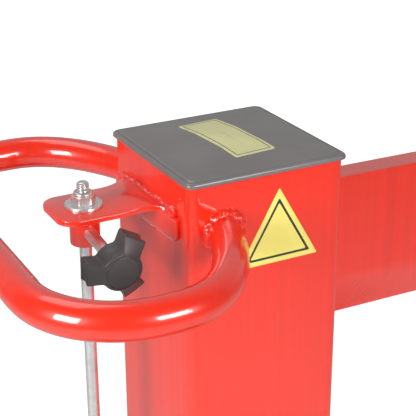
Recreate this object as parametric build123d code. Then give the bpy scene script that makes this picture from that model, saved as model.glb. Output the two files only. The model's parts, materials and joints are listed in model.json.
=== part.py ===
from build123d import *
import os
from math import cos, pi, radians, sin, sqrt

# Upright hydraulic log splitter, drawn with its ram fully raised.
# Origin: on the floor, on the axis of the square column.
# +X points to the log side, +Y to the left of the machine, +Z up.  Millimetres.

# ---------------------------------------------------------------- driving sizes
# clearances
SLIDE_GAP = 0.3          # between parts that slide past each other dry
RUN_GAP = 0.05           # radial, running fits
BOLT_GAP = 0.5           # radial, bolt in a plain hole

# ram (the moving square column)
RAM_TOP = 1430.0         # top of the ram tube, fully raised
RAM_WIDTH = 140.0
RAM_WALL = 5.0
RAM_CORNER = 9.0
STROKE = 475.0
END_GAP = 5.0            # ram's lower end above the cylinder's foot, ram lowered

# cap
CAP_LIP = 1.8            # overhang past the tube on each side
CAP_RIM = 4.0
CAP_RISE = 5.0
CAP_SKIRT = 16.0
CAP_SKIRT_WALL = 2.5

# splitting wedge
WEDGE_THICK = 25.5
WEDGE_LENGTH = 220.0
WEDGE_DROP = 43.0        # from the tube's top to the wedge's back edge
WEDGE_BACK = 102.0       # height of the parallel part
WEDGE_BEVEL = 36.0       # height of the bevelled part
WEDGE_EDGE = 1.0         # land left on the cutting edge
WEDGE_NOSE = 18.0        # chamfer of the upper front corner

# transport handle
HANDLE_DIA = 28.0
HANDLE_WALL = 2.5
HANDLE_DROP = 40.0
HANDLE_START_X = -40.0
HANDLE_SHOULDER = 100.0  # radius of the first bend
HANDLE_REAR_BEND = 72.0  # radius of the second bend
HANDLE_OUT = 142.0       # ram's rear face to the rear bar

# rod bracket
BRACKET_PLATE = 4.5
BRACKET_DROP = 27.0      # tube top to the tongue's upper face
FLANGE_INSET = 12.0      # ram's side faces to the flange's ends
FLANGE_HEIGHT = 26.0
TONGUE_WIDTH = 56.0
TONGUE_LENGTH = 86.0     # ram's rear face to the tongue's end
TONGUE_CORNER = 15.0
TONGUE_BLEND = 26.0      # concave radius between tongue and flange
FOLD_RADIUS = 3.0        # inside radius where the tongue folds down into the flange
FLANGE_CORNER = 5.0
ROD_OUT = 57.0           # ram's rear face to the stroke rod

# stroke rod and its hardware
ROD_DIA = 10.0
ROD_ADJUST = 90.0        # how far the rod slides up when the knob is slack
ROD_TAIL = 19.1          # rod standing out below the stop nuts
NUT_AF = 17.0
NUT_HEIGHT = 10.0
JAM_NUT_HEIGHT = 8.0
NUT_PROUD = 9.4          # thread standing above the top nut
WASHER_DIA = 30.0
WASHER_THICK = 2.5
COLLAR_DIA = 24.0
COLLAR_HEIGHT = 25.0
COLLAR_BORE_GAP = 0.3

# clamp knob
STUD_DIA = 10.0
STUD_DROOP = 6.5         # the stud leans down by this many degrees
STUD_DROP = 45.2         # tube top to the stud's axis at the rod
KNOB_BACK = 50.0         # distances along the stud from the rod's axis
KNOB_RIM = 68.4
KNOB_FACE = 77.0
KNOB_RADIUS = 26.6
KNOB_HUB = 13.0
KNOB_LOBES = 3
LOBE_WIDTH = 14.7
LOBE_NECK = 10.0
LOBE_FLARE = 16.0        # half the angle that a lobe's tip spans
LOBE_BACK = 5.0          # the lobes start this far in front of the hub's back

# decals
DECAL_THICK = 0.3
TRIANGLE_SIDE = 73.0
TRIANGLE_X = 8.9
TRIANGLE_DROP = 13.5
LABEL_LENGTH = 88.0
LABEL_WIDTH = 42.0

# guide (the fixed square column)
GUIDE_TOP = 720.0
GUIDE_WALL = 6.0
GUIDE_CORNER = 11.0
PAD_THICK = 5.7
PAD_HEIGHT = 40.0
PAD_DEPTHS = (108.0, 45.0)  # guide's top to each row's lower edge
PAD_SCREW_DIA = 8.0
PAD_SCREW_OUT = 11.0     # screw standing out of the guide's face
PAD_MARGIN = 6.0         # outer screws to the pads' ends
SCREW_SPACE = 14.0       # outer screws to the valve block's sides
EAR_SIDE = 50.0
EAR_THICK = 5.0
POCKET_Y = 45.0
POCKET_WIDTH = 40.0
POCKET_DEPTH = 28.0
POCKET_SLOT = 8.0

# base
SKID_SIDE = 40.0
SKID_WALL = 3.0
SKID_Y = 150.0
SKID_FRONT = 420.0
SKID_TAIL = 20.0         # axle to the skids' rear ends
BASE_PLATE = 8.0
BASE_TAIL = 83.0         # guide's rear face to the base plate's rear edge
BASE_WIDTH = 400.0
BASE_HOLE_DIA = 13.0
BASE_HOLE_EDGE = 15.0    # hole centre to the plate's sides
RIDGE_HEIGHT = 12.0
RIDGE_COUNT = 5
RIDGE_PITCH = 60.0
RIDGE_START = 130.0
RIDGE_LENGTH = 260.0
GUSSET_THICK = 8.0
GUSSET_REACH = 70.0
GUSSET_HEIGHT = 90.0

# cylinder
BARREL_BORE = 63.0
BARREL_WALL = 6.0
BARREL_SUNK = 70.0       # guide's top to the barrel's top
FOOT_SIDE = 104.0
FOOT_HEIGHT = 22.0
PISTON_ROD_DIA = 35.0
PISTON_THICK = 35.0
PISTON_SPARE = 9.0       # piston to the gland, ram raised
STEM_STEP = 5.0          # the rod's threaded ends are this much smaller in radius
HEAD_PLATE_SUNK = 94.0   # ram's top to the head plate's lower face
HEAD_PLATE = 14.0
GLAND_FLANGE = 22.0
GLAND_SPIGOT = 28.0

# valve and pipes
VALVE_DEPTH = 30.0
VALVE_WIDTH = 72.0
VALVE_HEIGHT = 90.0
VALVE_SUNK = 70.0        # guide's top to the valve block's top
OUTLET_RISE = 30.0       # valve block's lower face to the two side outlets
OUTLET_BOSS = 8.0
SPOOL_DIA = 12.0
PIPE_DIA = 10.0
PIPE_SPREAD = 22.0
SPRING_LENGTH = 38.0
HOSE_DIA = 14.0
HOSE_BEND = 30.0

# control arms
PIVOT_X = -50.0
PIVOT_SUNK = 30.0        # guide's top to the arms' pivot
PIVOT_DIA = 16.0
ARM_SIDE = 30.0
ARM_WALL = 2.5
ARM_SPACE = 30.0         # guide's side face to the arm's middle
ARM_OUT_Y = 235.0
ARM_FRONT = 407.0
CRANK_START = 40.0
CRANK_END = 120.0
CRANK_BEND = 40.0
CLAW_START = 190.0
CLAW_PITCH = 22.0
CLAW_TEETH = 4
CLAW_THICK = 8.0
GRIP_BAR_DIA = 20.0
GRIP_DIA = 34.0
GRIP_LENGTH = 105.0
ROCKER_THICK = 8.0
ROCKER_WIDTH = 24.0
ROCKER_GAP = 1.0         # rocker above the arms
STOP_GAP = 6.0           # stop nuts below the rocker, rod raised by its whole slide

# work table
TABLE_TOP = 600.0
TABLE_PLATE = 5.0
TABLE_LENGTH = 300.0
TABLE_WIDTH = 320.0
TABLE_GAP = 5.0
TABLE_RIM = 20.0
TABLE_NOTCH = 24.0       # width of the notch that clears the guide's front screws
TABLE_BRACE = 120.0      # table top to the bar that bears on the guide
TABLE_LIFT = 30.0        # how far the table lifts before its hooks come free
HOOK_SPARE = 2.0
POCKET_DROP = 8.0        # table top to the pockets' rims

# wheels
WHEEL_DIA = 184.0
WHEEL_WIDTH = 42.0
WHEEL_LIFT = 3.0
WHEEL_SPACE = 12.0       # wheels to the tank's sides
TYRE_DEPTH = 26.0
TYRE_SEAT = 34.0         # width of the rim under the tyre
AXLE_BEHIND = 25.0       # tank's rear face to the axle
AXLE_DIA = 20.0
AXLE_PLATE = 8.0

# power pack
TANK_GAP = 10.0          # base plate to the tank
TANK_LENGTH = 220.0
TANK_WIDTH = 330.0
TANK_HEIGHT = 200.0
TANK_WALL = 3.0
TANK_CORNER = 14.0
MOTOR_DIA = 118.0
MOTOR_FOOT = 19.0        # tank's top to the fins
MOTOR_REAR = -110.0
MOTOR_FRONT = 70.0
FIN_HEIGHT = 7.0
FIN_COUNT = 28
SHAFT_DIA = 16.0
PUMP_BELL = 35.0
PUMP_HALF_HEIGHT = 45.0
SWITCH_SIZE = (95.0, 80.0, 78.0)
SWITCH_Y = -60.0         # the panel with the buttons
BUTTON_SPREAD = 22.0
BUTTON_DIA = 22.0
BUTTON_TRAVEL = 3.0

# ---------------------------------------------------------------- derived sizes
HALF = RAM_WIDTH / 2
GUIDE_INNER = RAM_WIDTH + 2 * (SLIDE_GAP + PAD_THICK)
GUIDE_WIDTH = GUIDE_INNER + 2 * GUIDE_WALL
GUIDE_HALF = GUIDE_WIDTH / 2
BASE_TOP = SKID_SIDE + BASE_PLATE
FOOT_TOP = BASE_TOP + FOOT_HEIGHT
RAM_LOW = FOOT_TOP + END_GAP + STROKE
HANDLE_REACH = HALF + HANDLE_OUT
FLANGE_WIDTH = RAM_WIDTH - 2 * FLANGE_INSET
TONGUE_REACH = HALF + TONGUE_LENGTH
TONGUE_TOP = RAM_TOP - BRACKET_DROP
TONGUE_LOW = TONGUE_TOP - BRACKET_PLATE
ROD_REACH = HALF + ROD_OUT
COLLAR_LOW = TONGUE_LOW - COLLAR_HEIGHT
STUD_Z = RAM_TOP - STUD_DROP
SCREW_SPREAD = VALVE_WIDTH / 2 + SCREW_SPACE
PAD_WIDTH = 2 * (SCREW_SPREAD + PAD_MARGIN)
BARREL_RADIUS = BARREL_BORE / 2 + BARREL_WALL
BARREL_TOP = GUIDE_TOP - BARREL_SUNK
PISTON_LOW = BARREL_TOP - GLAND_SPIGOT - PISTON_SPARE - PISTON_THICK
STEM_RADIUS = PISTON_ROD_DIA / 2 - STEM_STEP
HEAD_PLATE_Z = RAM_TOP - HEAD_PLATE_SUNK
VALVE_X = -GUIDE_HALF - VALVE_DEPTH / 2
VALVE_HIGH = GUIDE_TOP - VALVE_SUNK
VALVE_LOW = VALVE_HIGH - VALVE_HEIGHT
OUTLET_Z = VALVE_LOW + OUTLET_RISE
PIVOT_Z = GUIDE_TOP - PIVOT_SUNK
ARM_Y = GUIDE_HALF + ARM_SPACE
ROCKER_LOW = PIVOT_Z + ARM_SIDE / 2 + ROCKER_GAP
STOP_TOP = ROCKER_LOW - ROD_ADJUST - STOP_GAP
ROD_TOP = TONGUE_TOP + WASHER_THICK + NUT_HEIGHT + NUT_PROUD
ROD_LOW = STOP_TOP - 2 * JAM_NUT_HEIGHT - ROD_TAIL
BASE_REAR = -GUIDE_HALF - BASE_TAIL
TANK_FRONT = BASE_REAR - TANK_GAP
TANK_REAR = TANK_FRONT - TANK_LENGTH
TANK_TOP = SKID_SIDE + TANK_HEIGHT
AXLE_X = TANK_REAR - AXLE_BEHIND
SKID_REAR = AXLE_X - SKID_TAIL
WHEEL_Y = TANK_WIDTH / 2 + WHEEL_SPACE + WHEEL_WIDTH / 2
WHEEL_Z = WHEEL_DIA / 2 + WHEEL_LIFT
MOTOR_X = (TANK_FRONT + TANK_REAR) / 2
MOTOR_Z = TANK_TOP + MOTOR_FOOT + MOTOR_DIA / 2
PUMP_Y = MOTOR_FRONT + 2 * PUMP_BELL
SWITCH_LOW = MOTOR_Z + MOTOR_DIA / 2 + 3.0
BUTTON_Z = SWITCH_LOW + SWITCH_SIZE[2] * 0.62
TABLE_X = GUIDE_HALF + TABLE_GAP

PARTS = {}


# ---------------------------------------------------------------- small helpers
def box(x, y, z):
    """A box from its (low, high) limits on each axis."""
    size = [b - a for a, b in (x, y, z)]
    mid = [(a + b) / 2 for a, b in (x, y, z)]
    return Pos(*mid) * Box(*size)


def rod(radius, start, end):
    """A cylinder between two points."""
    start, end = Vector(*start), Vector(*end)
    plane = Plane(origin=start, z_dir=end - start)
    return extrude(plane * Circle(radius), (end - start).length)


def pipe(radius, start, end, bore):
    """A straight pipe between two points."""
    return rod(radius, start, end) - rod(bore, start, end)


def square_tube(width, wall, corner, low, high):
    """An upright square tube on the Z axis."""
    outer = RectangleRounded(width, width, corner)
    inner = RectangleRounded(width - 2 * wall, width - 2 * wall, corner - wall)
    return Pos(0, 0, low) * extrude(outer - inner, high - low)


def hexagon(across_flats, start, end):
    """A hexagonal prism between two points."""
    start, end = Vector(*start), Vector(*end)
    plane = Plane(origin=start, z_dir=end - start)
    return extrude(plane * RegularPolygon(across_flats / sqrt(3), 6), (end - start).length)


def nut(across_flats, height, bore, start, direction):
    """A chamfered hexagon nut standing on a point."""
    start, direction = Vector(*start), Vector(*direction).normalized()
    end = start + direction * height
    body = hexagon(across_flats, start, end)
    corner = across_flats / sqrt(3)
    plane = Plane(origin=start, z_dir=direction)
    dome = extrude(plane * Circle(corner), height)
    body = body & chamfer(dome.edges(), corner - across_flats / 2 * 0.99)
    return body - rod(bore, start, end)


def mirrored(shape):
    """The same shape on the other side of the machine's middle plane."""
    return mirror(shape, about=Plane.XZ)


def sided(name, shape):
    """One part for each side of the machine; the shape given is the left one."""
    PARTS[name + "_left"] = shape
    PARTS[name + "_right"] = mirrored(shape)


def bent_pipe(points, radius, bore, bend):
    """A pipe along straight runs joined by bends of one radius."""
    path = FilletPolyline(*points, radius=bend)
    plane = Plane(origin=path @ 0, z_dir=path % 0)
    return sweep(plane * (Circle(radius) - Circle(bore)), path=path)


# ---------------------------------------------------------------- ram
def ram_column():
    return square_tube(RAM_WIDTH, RAM_WALL, RAM_CORNER, RAM_LOW, RAM_TOP)


def cap_top():
    """The cap's rounded rim with a shallow pyramid on it."""
    side = RAM_WIDTH + 2 * CAP_LIP
    outline = RectangleRounded(side, side, RAM_CORNER + CAP_LIP)
    rim = Pos(0, 0, RAM_TOP) * extrude(outline, CAP_RIM)
    rim = fillet(rim.edges().filter_by(GeomType.LINE).group_by(Axis.Z)[-1], 1.2)
    pyramid = loft([
        Pos(0, 0, RAM_TOP + CAP_RIM) * Rectangle(side - 4, side - 4),
        Pos(0, 0, RAM_TOP + CAP_RIM + CAP_RISE) * Rectangle(0.6, 0.6),
    ])
    bound = Pos(0, 0, RAM_TOP) * extrude(
        RectangleRounded(side - 3, side - 3, RAM_CORNER + CAP_LIP - 1.5), CAP_RIM + CAP_RISE + 1)
    return rim + (pyramid & bound)


def ram_cap():
    inner = RAM_WIDTH - 2 * RAM_WALL - 2 * SLIDE_GAP
    corner = RAM_CORNER - RAM_WALL
    skirt = RectangleRounded(inner, inner, corner)
    skirt -= RectangleRounded(inner - 2 * CAP_SKIRT_WALL, inner - 2 * CAP_SKIRT_WALL, corner)
    return cap_top() + Pos(0, 0, RAM_TOP - CAP_SKIRT) * extrude(skirt, CAP_SKIRT)


def cap_decal():
    label = Pos(0, 0, RAM_TOP) * extrude(RectangleRounded(LABEL_WIDTH, LABEL_LENGTH, 1.5), 20)
    return (Pos(0, 0, DECAL_THICK) * cap_top() & label) - cap_top()


def side_decal():
    height = TRIANGLE_SIDE * sqrt(3) / 2
    top = RAM_TOP - TRIANGLE_DROP
    y = -HALF
    outline = Polyline(
        (TRIANGLE_X, y, top),
        (TRIANGLE_X - TRIANGLE_SIDE / 2, y, top - height),
        (TRIANGLE_X + TRIANGLE_SIDE / 2, y, top - height),
        close=True)
    return extrude(make_face(outline), DECAL_THICK, dir=(0, -1, 0))


def splitting_wedge():
    top = RAM_TOP - WEDGE_DROP
    shoulder = top - WEDGE_BACK
    edge = shoulder - WEDGE_BEVEL
    half = WEDGE_THICK / 2
    land = WEDGE_EDGE / 2
    profile = Polyline(
        (HALF, -half, top), (HALF, half, top), (HALF, half, shoulder),
        (HALF, land, edge), (HALF, -land, edge), (HALF, -half, shoulder), close=True)
    blade = extrude(make_face(profile), WEDGE_LENGTH, dir=(1, 0, 0))
    front_top = blade.edges().filter_by(Axis.Y).sort_by(Axis.Z)[-2:].sort_by(Axis.X)[-1]
    return chamfer(front_top, WEDGE_NOSE)


def transport_handle():
    z = RAM_TOP - HANDLE_DROP
    x0, x2 = HANDLE_START_X, -HANDLE_REACH
    x1 = x0 - HANDLE_SHOULDER
    x_mid = x2 + HANDLE_REAR_BEND
    y1 = HALF + HANDLE_SHOULDER
    y2 = y1 - HANDLE_REAR_BEND
    first = CenterArc((x1, HALF, z), HANDLE_SHOULDER, 0, 90)
    side = [Line((x1, y1, z), (x_mid, y1, z))] if x1 - x_mid > 0.01 else []
    second = CenterArc((x_mid, y2, z), HANDLE_REAR_BEND, 90, 90)
    rear = Line((x2, y2, z), (x2, 0, z))
    path = Wire([first, *side, second, rear])
    plane = Plane(origin=(x0, HALF, z), z_dir=(0, 1, 0))
    ring = Circle(HANDLE_DIA / 2) - Circle(HANDLE_DIA / 2 - HANDLE_WALL)
    half = sweep(plane * ring, path=path)
    return half + mirrored(half)


def rod_bracket():
    """Plate folded down into a flange against the ram; its tongue carries the stroke rod."""
    wall = -HALF - BRACKET_PLATE
    half_f, half_t = FLANGE_WIDTH / 2, TONGUE_WIDTH / 2
    blend = min(TONGUE_BLEND, half_f - half_t - 1)
    root = wall - blend
    with BuildSketch() as plan:
        with BuildLine():
            Polyline((wall, -half_t - blend), (wall, -half_f), (-HALF, -half_f),
                     (-HALF, half_f), (wall, half_f), (wall, half_t + blend))
            RadiusArc((wall, half_t + blend), (root, half_t), blend)
            Polyline((root, half_t), (-TONGUE_REACH, half_t), (-TONGUE_REACH, -half_t),
                     (root, -half_t))
            RadiusArc((root, -half_t), (wall, -half_t - blend), blend)
        make_face()
        fillet(plan.vertices().group_by(Axis.X)[0], TONGUE_CORNER)
    tongue = Pos(0, 0, TONGUE_LOW) * extrude(plan.sketch, BRACKET_PLATE)
    flange = box((wall, -HALF), (-half_f, half_f), (TONGUE_TOP - FLANGE_HEIGHT, TONGUE_TOP))
    lower = flange.edges().filter_by(Axis.X).group_by(Axis.Z)[0]
    plate = tongue + fillet(lower, FLANGE_CORNER)
    fold = plate.edges().filter_by(Axis.Y).group_by(Axis.Z)[-1].sort_by(Axis.X)[-1]
    plate = fillet(fold, BRACKET_PLATE - 0.1 + FOLD_RADIUS)
    return plate - rod(ROD_DIA / 2 + BOLT_GAP, (-ROD_REACH, 0, TONGUE_LOW - 1),
                       (-ROD_REACH, 0, TONGUE_TOP + 1))


def stud_point(distance):
    """A point on the leaning stud's axis, measured from the rod's axis."""
    return (-ROD_REACH, -distance * cos(radians(STUD_DROOP)),
            STUD_Z - distance * sin(radians(STUD_DROOP)))


def lock_collar():
    body = rod(COLLAR_DIA / 2, (-ROD_REACH, 0, COLLAR_LOW), (-ROD_REACH, 0, TONGUE_LOW))
    body -= rod(ROD_DIA / 2 + COLLAR_BORE_GAP, (-ROD_REACH, 0, COLLAR_LOW - 1),
                (-ROD_REACH, 0, TONGUE_LOW + 1))
    return body - rod(STUD_DIA / 2 + RUN_GAP, stud_point(0), stud_point(COLLAR_DIA))


def head_plate():
    side = RAM_WIDTH - 2 * RAM_WALL - 2 * SLIDE_GAP
    outline = RectangleRounded(side, side, RAM_CORNER - RAM_WALL)
    plate = Pos(0, 0, HEAD_PLATE_Z) * extrude(outline, HEAD_PLATE)
    plate -= rod(STEM_RADIUS, (0, 0, HEAD_PLATE_Z - 1), (0, 0, HEAD_PLATE_Z + 30))
    top = HEAD_PLATE_Z + HEAD_PLATE
    return plate + nut(36, 18, STEM_RADIUS, (0, 0, top), (0, 0, 1))


def piston_rod():
    """Chromed rod with a thinner end through the head plate and one through the piston."""
    thin = STEM_RADIUS - RUN_GAP
    body = rod(PISTON_ROD_DIA / 2, (0, 0, PISTON_LOW + PISTON_THICK), (0, 0, HEAD_PLATE_Z))
    body += rod(thin, (0, 0, HEAD_PLATE_Z), (0, 0, HEAD_PLATE_Z + HEAD_PLATE + 22))
    return body + rod(thin, (0, 0, PISTON_LOW), (0, 0, PISTON_LOW + PISTON_THICK))


def piston():
    low, high = PISTON_LOW, PISTON_LOW + PISTON_THICK
    body = rod(BARREL_BORE / 2 - RUN_GAP, (0, 0, low), (0, 0, high))
    for level in (low + 8, high - 12):
        groove = pipe(BARREL_BORE / 2 + 1, (0, 0, level), (0, 0, level + 4), BARREL_BORE / 2 - 2)
        body -= groove
    return body - rod(STEM_RADIUS, (0, 0, low - 1), (0, 0, high + 1))


def make_ram():
    PARTS["ram_column"] = ram_column()
    PARTS["ram_cap"] = ram_cap()
    PARTS["cap_decal"] = cap_decal()
    PARTS["side_decal"] = side_decal()
    PARTS["splitting_wedge"] = splitting_wedge()
    PARTS["transport_handle"] = transport_handle()
    PARTS["rod_bracket"] = rod_bracket()
    PARTS["lock_collar"] = lock_collar()
    PARTS["head_plate"] = head_plate()
    PARTS["piston_rod"] = piston_rod()
    PARTS["piston"] = piston()


# ---------------------------------------------------------------- stroke rod and knob
def stroke_rod():
    body = rod(ROD_DIA / 2, (-ROD_REACH, 0, ROD_LOW), (-ROD_REACH, 0, ROD_TOP))
    return chamfer(body.edges().filter_by(GeomType.CIRCLE), 1)


def rod_nuts():
    """Lock nut above the tongue and two jammed nuts as the lower stop."""
    seat = TONGUE_TOP + WASHER_THICK
    bore = ROD_DIA / 2 + RUN_GAP
    top = nut(NUT_AF, NUT_HEIGHT * 0.68, bore, (-ROD_REACH, 0, seat), (0, 0, 1))
    crown = pipe(NUT_AF / 2 - 0.6, (-ROD_REACH, 0, seat + NUT_HEIGHT * 0.6),
                 (-ROD_REACH, 0, seat + NUT_HEIGHT), bore)
    top += fillet(crown.edges().group_by(Axis.Z)[-1].sort_by(SortBy.RADIUS)[-1], 1.5)
    stops = [nut(NUT_AF, JAM_NUT_HEIGHT, bore, (-ROD_REACH, 0, STOP_TOP - k * JAM_NUT_HEIGHT),
                 (0, 0, -1)) for k in range(2)]
    return Compound([top, *stops])


def rod_washer():
    return pipe(WASHER_DIA / 2, (-ROD_REACH, 0, TONGUE_TOP),
                (-ROD_REACH, 0, TONGUE_TOP + WASHER_THICK), ROD_DIA / 2 + RUN_GAP)


def knob_plane(distance):
    """A drawing plane square to the stud, X to the front, Y upwards."""
    lean = radians(STUD_DROOP)
    return Plane(origin=stud_point(distance), x_dir=(1, 0, 0), z_dir=(0, -cos(lean), -sin(lean)))


def lobe_outline(hub, reach, width, neck):
    """Round hub with lobes that widen towards their ends, one of them level to the rear."""
    outline = Circle(hub)
    for k in range(KNOB_LOBES):
        lobe = make_face(Polyline(
            (0, -neck / 2), (hub, -neck / 2), (reach, -width / 2),
            (reach, width / 2), (hub, neck / 2), (0, neck / 2), close=True))
        outline += Rot(0, 0, (k + 0.5) * 360 / KNOB_LOBES) * lobe
    return outline


def clamp_knob():
    rim = KNOB_FACE - KNOB_RIM
    reach = KNOB_RADIUS * cos(radians(LOBE_FLARE))
    plane = knob_plane(KNOB_BACK + LOBE_BACK)
    body = extrude(plane * lobe_outline(KNOB_HUB, reach, LOBE_WIDTH, LOBE_NECK),
                   KNOB_RIM - KNOB_BACK - LOBE_BACK)
    body += extrude(knob_plane(KNOB_BACK) * Circle(KNOB_HUB - 2), KNOB_FACE - KNOB_BACK - rim)
    hub = extrude(knob_plane(KNOB_RIM - 1) * Circle(KNOB_HUB), rim + 1, taper=6)
    body += hub
    return body - rod(STUD_DIA / 2, stud_point(KNOB_BACK - 1), stud_point(KNOB_RIM - 4))


def knob_stud():
    return rod(STUD_DIA / 2, stud_point(ROD_DIA / 2 + 0.6), stud_point(KNOB_RIM - 4))


def make_rod_and_knob():
    PARTS["stroke_rod"] = stroke_rod()
    PARTS["rod_nuts"] = rod_nuts()
    PARTS["rod_washer"] = rod_washer()
    PARTS["clamp_knob"] = clamp_knob()
    PARTS["knob_stud"] = knob_stud()


# ---------------------------------------------------------------- guide column
def screw_places():
    """(foot, direction) of each pad screw, on the guide's outer faces."""
    places = []
    for depth in PAD_DEPTHS:
        z = GUIDE_TOP - depth + PAD_HEIGHT / 2
        places += [((-GUIDE_HALF, y, z), (-1, 0, 0)) for y in (-SCREW_SPREAD, SCREW_SPREAD)]
        places.append(((GUIDE_HALF, 0, z), (1, 0, 0)))
        places += [((HALF / 3, s * GUIDE_HALF, z), (0, s, 0)) for s in (-1, 1)]
    return places


def along(start, direction, distance):
    """The point some way from a start, along an axis direction."""
    return tuple(a + b * distance for a, b in zip(start, direction))


def pocket(y):
    """Socket on the guide's front face that a table hook drops into."""
    high = TABLE_TOP - POCKET_DROP
    low = high - TABLE_LIFT - HOOK_SPARE
    half = POCKET_WIDTH / 2
    front = GUIDE_HALF + 10
    body = box((GUIDE_HALF, GUIDE_HALF + POCKET_DEPTH), (y - half, y + half), (low - 10, high))
    slot = box((front, front + POCKET_SLOT), (y - half - 1, y + half + 1), (low, high + 1))
    return body - slot


def guide_column():
    body = square_tube(GUIDE_WIDTH, GUIDE_WALL, GUIDE_CORNER, BASE_TOP, GUIDE_TOP)
    wall = (-GUIDE_HALF - 1, -GUIDE_HALF + GUIDE_WALL + 1)
    body -= box(wall, (-38, 38), (BASE_TOP - 1, FOOT_TOP + 2))
    for start, way in screw_places():
        body -= rod(PAD_SCREW_DIA / 2 + RUN_GAP, along(start, way, 1),
                    along(start, way, -GUIDE_WALL - 1))
    half = GUSSET_THICK / 2
    toe = GUIDE_HALF + GUSSET_REACH
    for middle in (22 - GUIDE_HALF, GUIDE_HALF - 22):
        x = middle - half
        web = Polyline((x, GUIDE_HALF, BASE_TOP), (x, toe, BASE_TOP), (x, toe, BASE_TOP + 12),
                       (x, GUIDE_HALF, BASE_TOP + GUSSET_HEIGHT), close=True)
        web = extrude(make_face(web), GUSSET_THICK, dir=(1, 0, 0))
        body += web + mirrored(web)
    ear = box((PIVOT_X - EAR_SIDE / 2, PIVOT_X + EAR_SIDE / 2), (GUIDE_HALF, GUIDE_HALF + EAR_THICK),
              (PIVOT_Z - EAR_SIDE / 2, PIVOT_Z + EAR_SIDE / 2))
    ear = fillet(ear.edges().filter_by(Axis.Y), 8)
    body += ear + mirrored(ear)
    for y in (-POCKET_Y, POCKET_Y):
        body += pocket(y)
    return body


def guide_pads():
    """Nylon pads between the guide's walls and the ram, on two levels."""
    outer = GUIDE_INNER / 2
    half = PAD_WIDTH / 2
    pads = []
    for depth in PAD_DEPTHS:
        low = GUIDE_TOP - depth
        pad = box((outer - PAD_THICK, outer), (-half, half), (low, low + PAD_HEIGHT))
        pads += [Rot(0, 0, turn) * pad for turn in (0, 90, 180, 270)]
    return Compound(pads)


def pad_screws():
    """Set screws through the guide's wall, each with its locknut."""
    screws = []
    for start, way in screw_places():
        radius = PAD_SCREW_DIA / 2
        shank = rod(radius, along(start, way, -GUIDE_WALL), along(start, way, PAD_SCREW_OUT))
        screws.append(shank + nut(13, 6.5, radius - 0.2, start, way))
    return Compound(screws)


def pivot_bolts():
    seat = ARM_Y + ARM_SIDE / 2 + 2
    bolt = rod(PIVOT_DIA / 2, (PIVOT_X, GUIDE_HALF + EAR_THICK, PIVOT_Z), (PIVOT_X, seat + 13, PIVOT_Z))
    bolt = chamfer(bolt.edges().group_by(Axis.Y)[-1], 1.5)
    bolt += nut(24, 10, PIVOT_DIA / 2 - 0.2, (PIVOT_X, seat, PIVOT_Z), (0, 1, 0))
    return Compound([bolt, mirrored(bolt)])


# ---------------------------------------------------------------- base
def base_plate():
    half = BASE_WIDTH / 2
    plate = box((BASE_REAR, SKID_FRONT), (-half, half), (SKID_SIDE, BASE_TOP))
    plate = fillet(plate.edges().filter_by(Axis.Z), 12)
    for x in (BASE_REAR + 25, SKID_FRONT - 30):
        for y in (-half + BASE_HOLE_EDGE, half - BASE_HOLE_EDGE):
            plate -= rod(BASE_HOLE_DIA / 2, (x, y, SKID_SIDE - 1), (x, y, BASE_TOP + 1))
    side = -RIDGE_LENGTH / 2
    for k in range(RIDGE_COUNT):
        x = RIDGE_START + k * RIDGE_PITCH
        ridge = Polyline((x - 8, side, BASE_TOP), (x + 8, side, BASE_TOP),
                         (x, side, BASE_TOP + RIDGE_HEIGHT), close=True)
        plate += extrude(make_face(ridge), RIDGE_LENGTH, dir=(0, 1, 0))
    return plate


def base_skids():
    """Two box-section skids, each with the ear that holds the axle."""
    inner = SKID_SIDE - 2 * SKID_WALL
    section = RectangleRounded(SKID_SIDE, SKID_SIDE, 5) - RectangleRounded(inner, inner, 2)
    section = Plane.YZ.offset(SKID_REAR) * Pos(SKID_Y, SKID_SIDE / 2) * section
    skid = extrude(section, SKID_FRONT - SKID_REAR)
    ear = box((AXLE_X - 18, AXLE_X + 18), (SKID_Y - AXLE_PLATE / 2, SKID_Y + AXLE_PLATE / 2),
              (SKID_SIDE, WHEEL_Z + 18))
    ear = fillet(ear.edges().filter_by(Axis.Y).group_by(Axis.Z)[-1], 14)
    ear -= rod(AXLE_DIA / 2 + RUN_GAP, (AXLE_X, SKID_Y - 10, WHEEL_Z), (AXLE_X, SKID_Y + 10, WHEEL_Z))
    skid += ear
    return Compound([skid, mirrored(skid)])


def make_base():
    PARTS["base_plate"] = base_plate()
    PARTS["base_skids"] = base_skids()
    PARTS["guide_column"] = guide_column()
    PARTS["guide_pads"] = guide_pads()
    PARTS["pad_screws"] = pad_screws()
    PARTS["pivot_bolts"] = pivot_bolts()


# ---------------------------------------------------------------- cylinder, valve, pipes
def cylinder_barrel():
    half = FOOT_SIDE / 2
    body = box((-half, half), (-half, half), (BASE_TOP, FOOT_TOP))
    body = fillet(body.edges().filter_by(Axis.Z), 8)
    body += rod(BARREL_RADIUS, (0, 0, FOOT_TOP), (0, 0, BARREL_TOP))
    body -= rod(BARREL_BORE / 2, (0, 0, FOOT_TOP + 12), (0, 0, BARREL_TOP + 1))
    upper = box((BARREL_RADIUS - 6, BARREL_RADIUS + 14), (-9, 9), (BARREL_TOP - 62, BARREL_TOP - 38))
    upper -= rod(BARREL_BORE / 2, (0, 0, FOOT_TOP + 12), (0, 0, BARREL_TOP + 1))
    line = rod(4, (BARREL_RADIUS + 6, 0, FOOT_TOP - 1), (BARREL_RADIUS + 6, 0, BARREL_TOP - 60))
    return body + upper + line


def cylinder_gland():
    spigot = rod(BARREL_BORE / 2 - RUN_GAP, (0, 0, BARREL_TOP - GLAND_SPIGOT), (0, 0, BARREL_TOP))
    flange = rod(BARREL_RADIUS, (0, 0, BARREL_TOP), (0, 0, BARREL_TOP + GLAND_FLANGE))
    flange = chamfer(flange.edges().group_by(Axis.Z)[-1], 2)
    bore = rod(PISTON_ROD_DIA / 2 + RUN_GAP, (0, 0, BARREL_TOP - 40), (0, 0, BARREL_TOP + 40))
    return spigot + flange - bore


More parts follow.
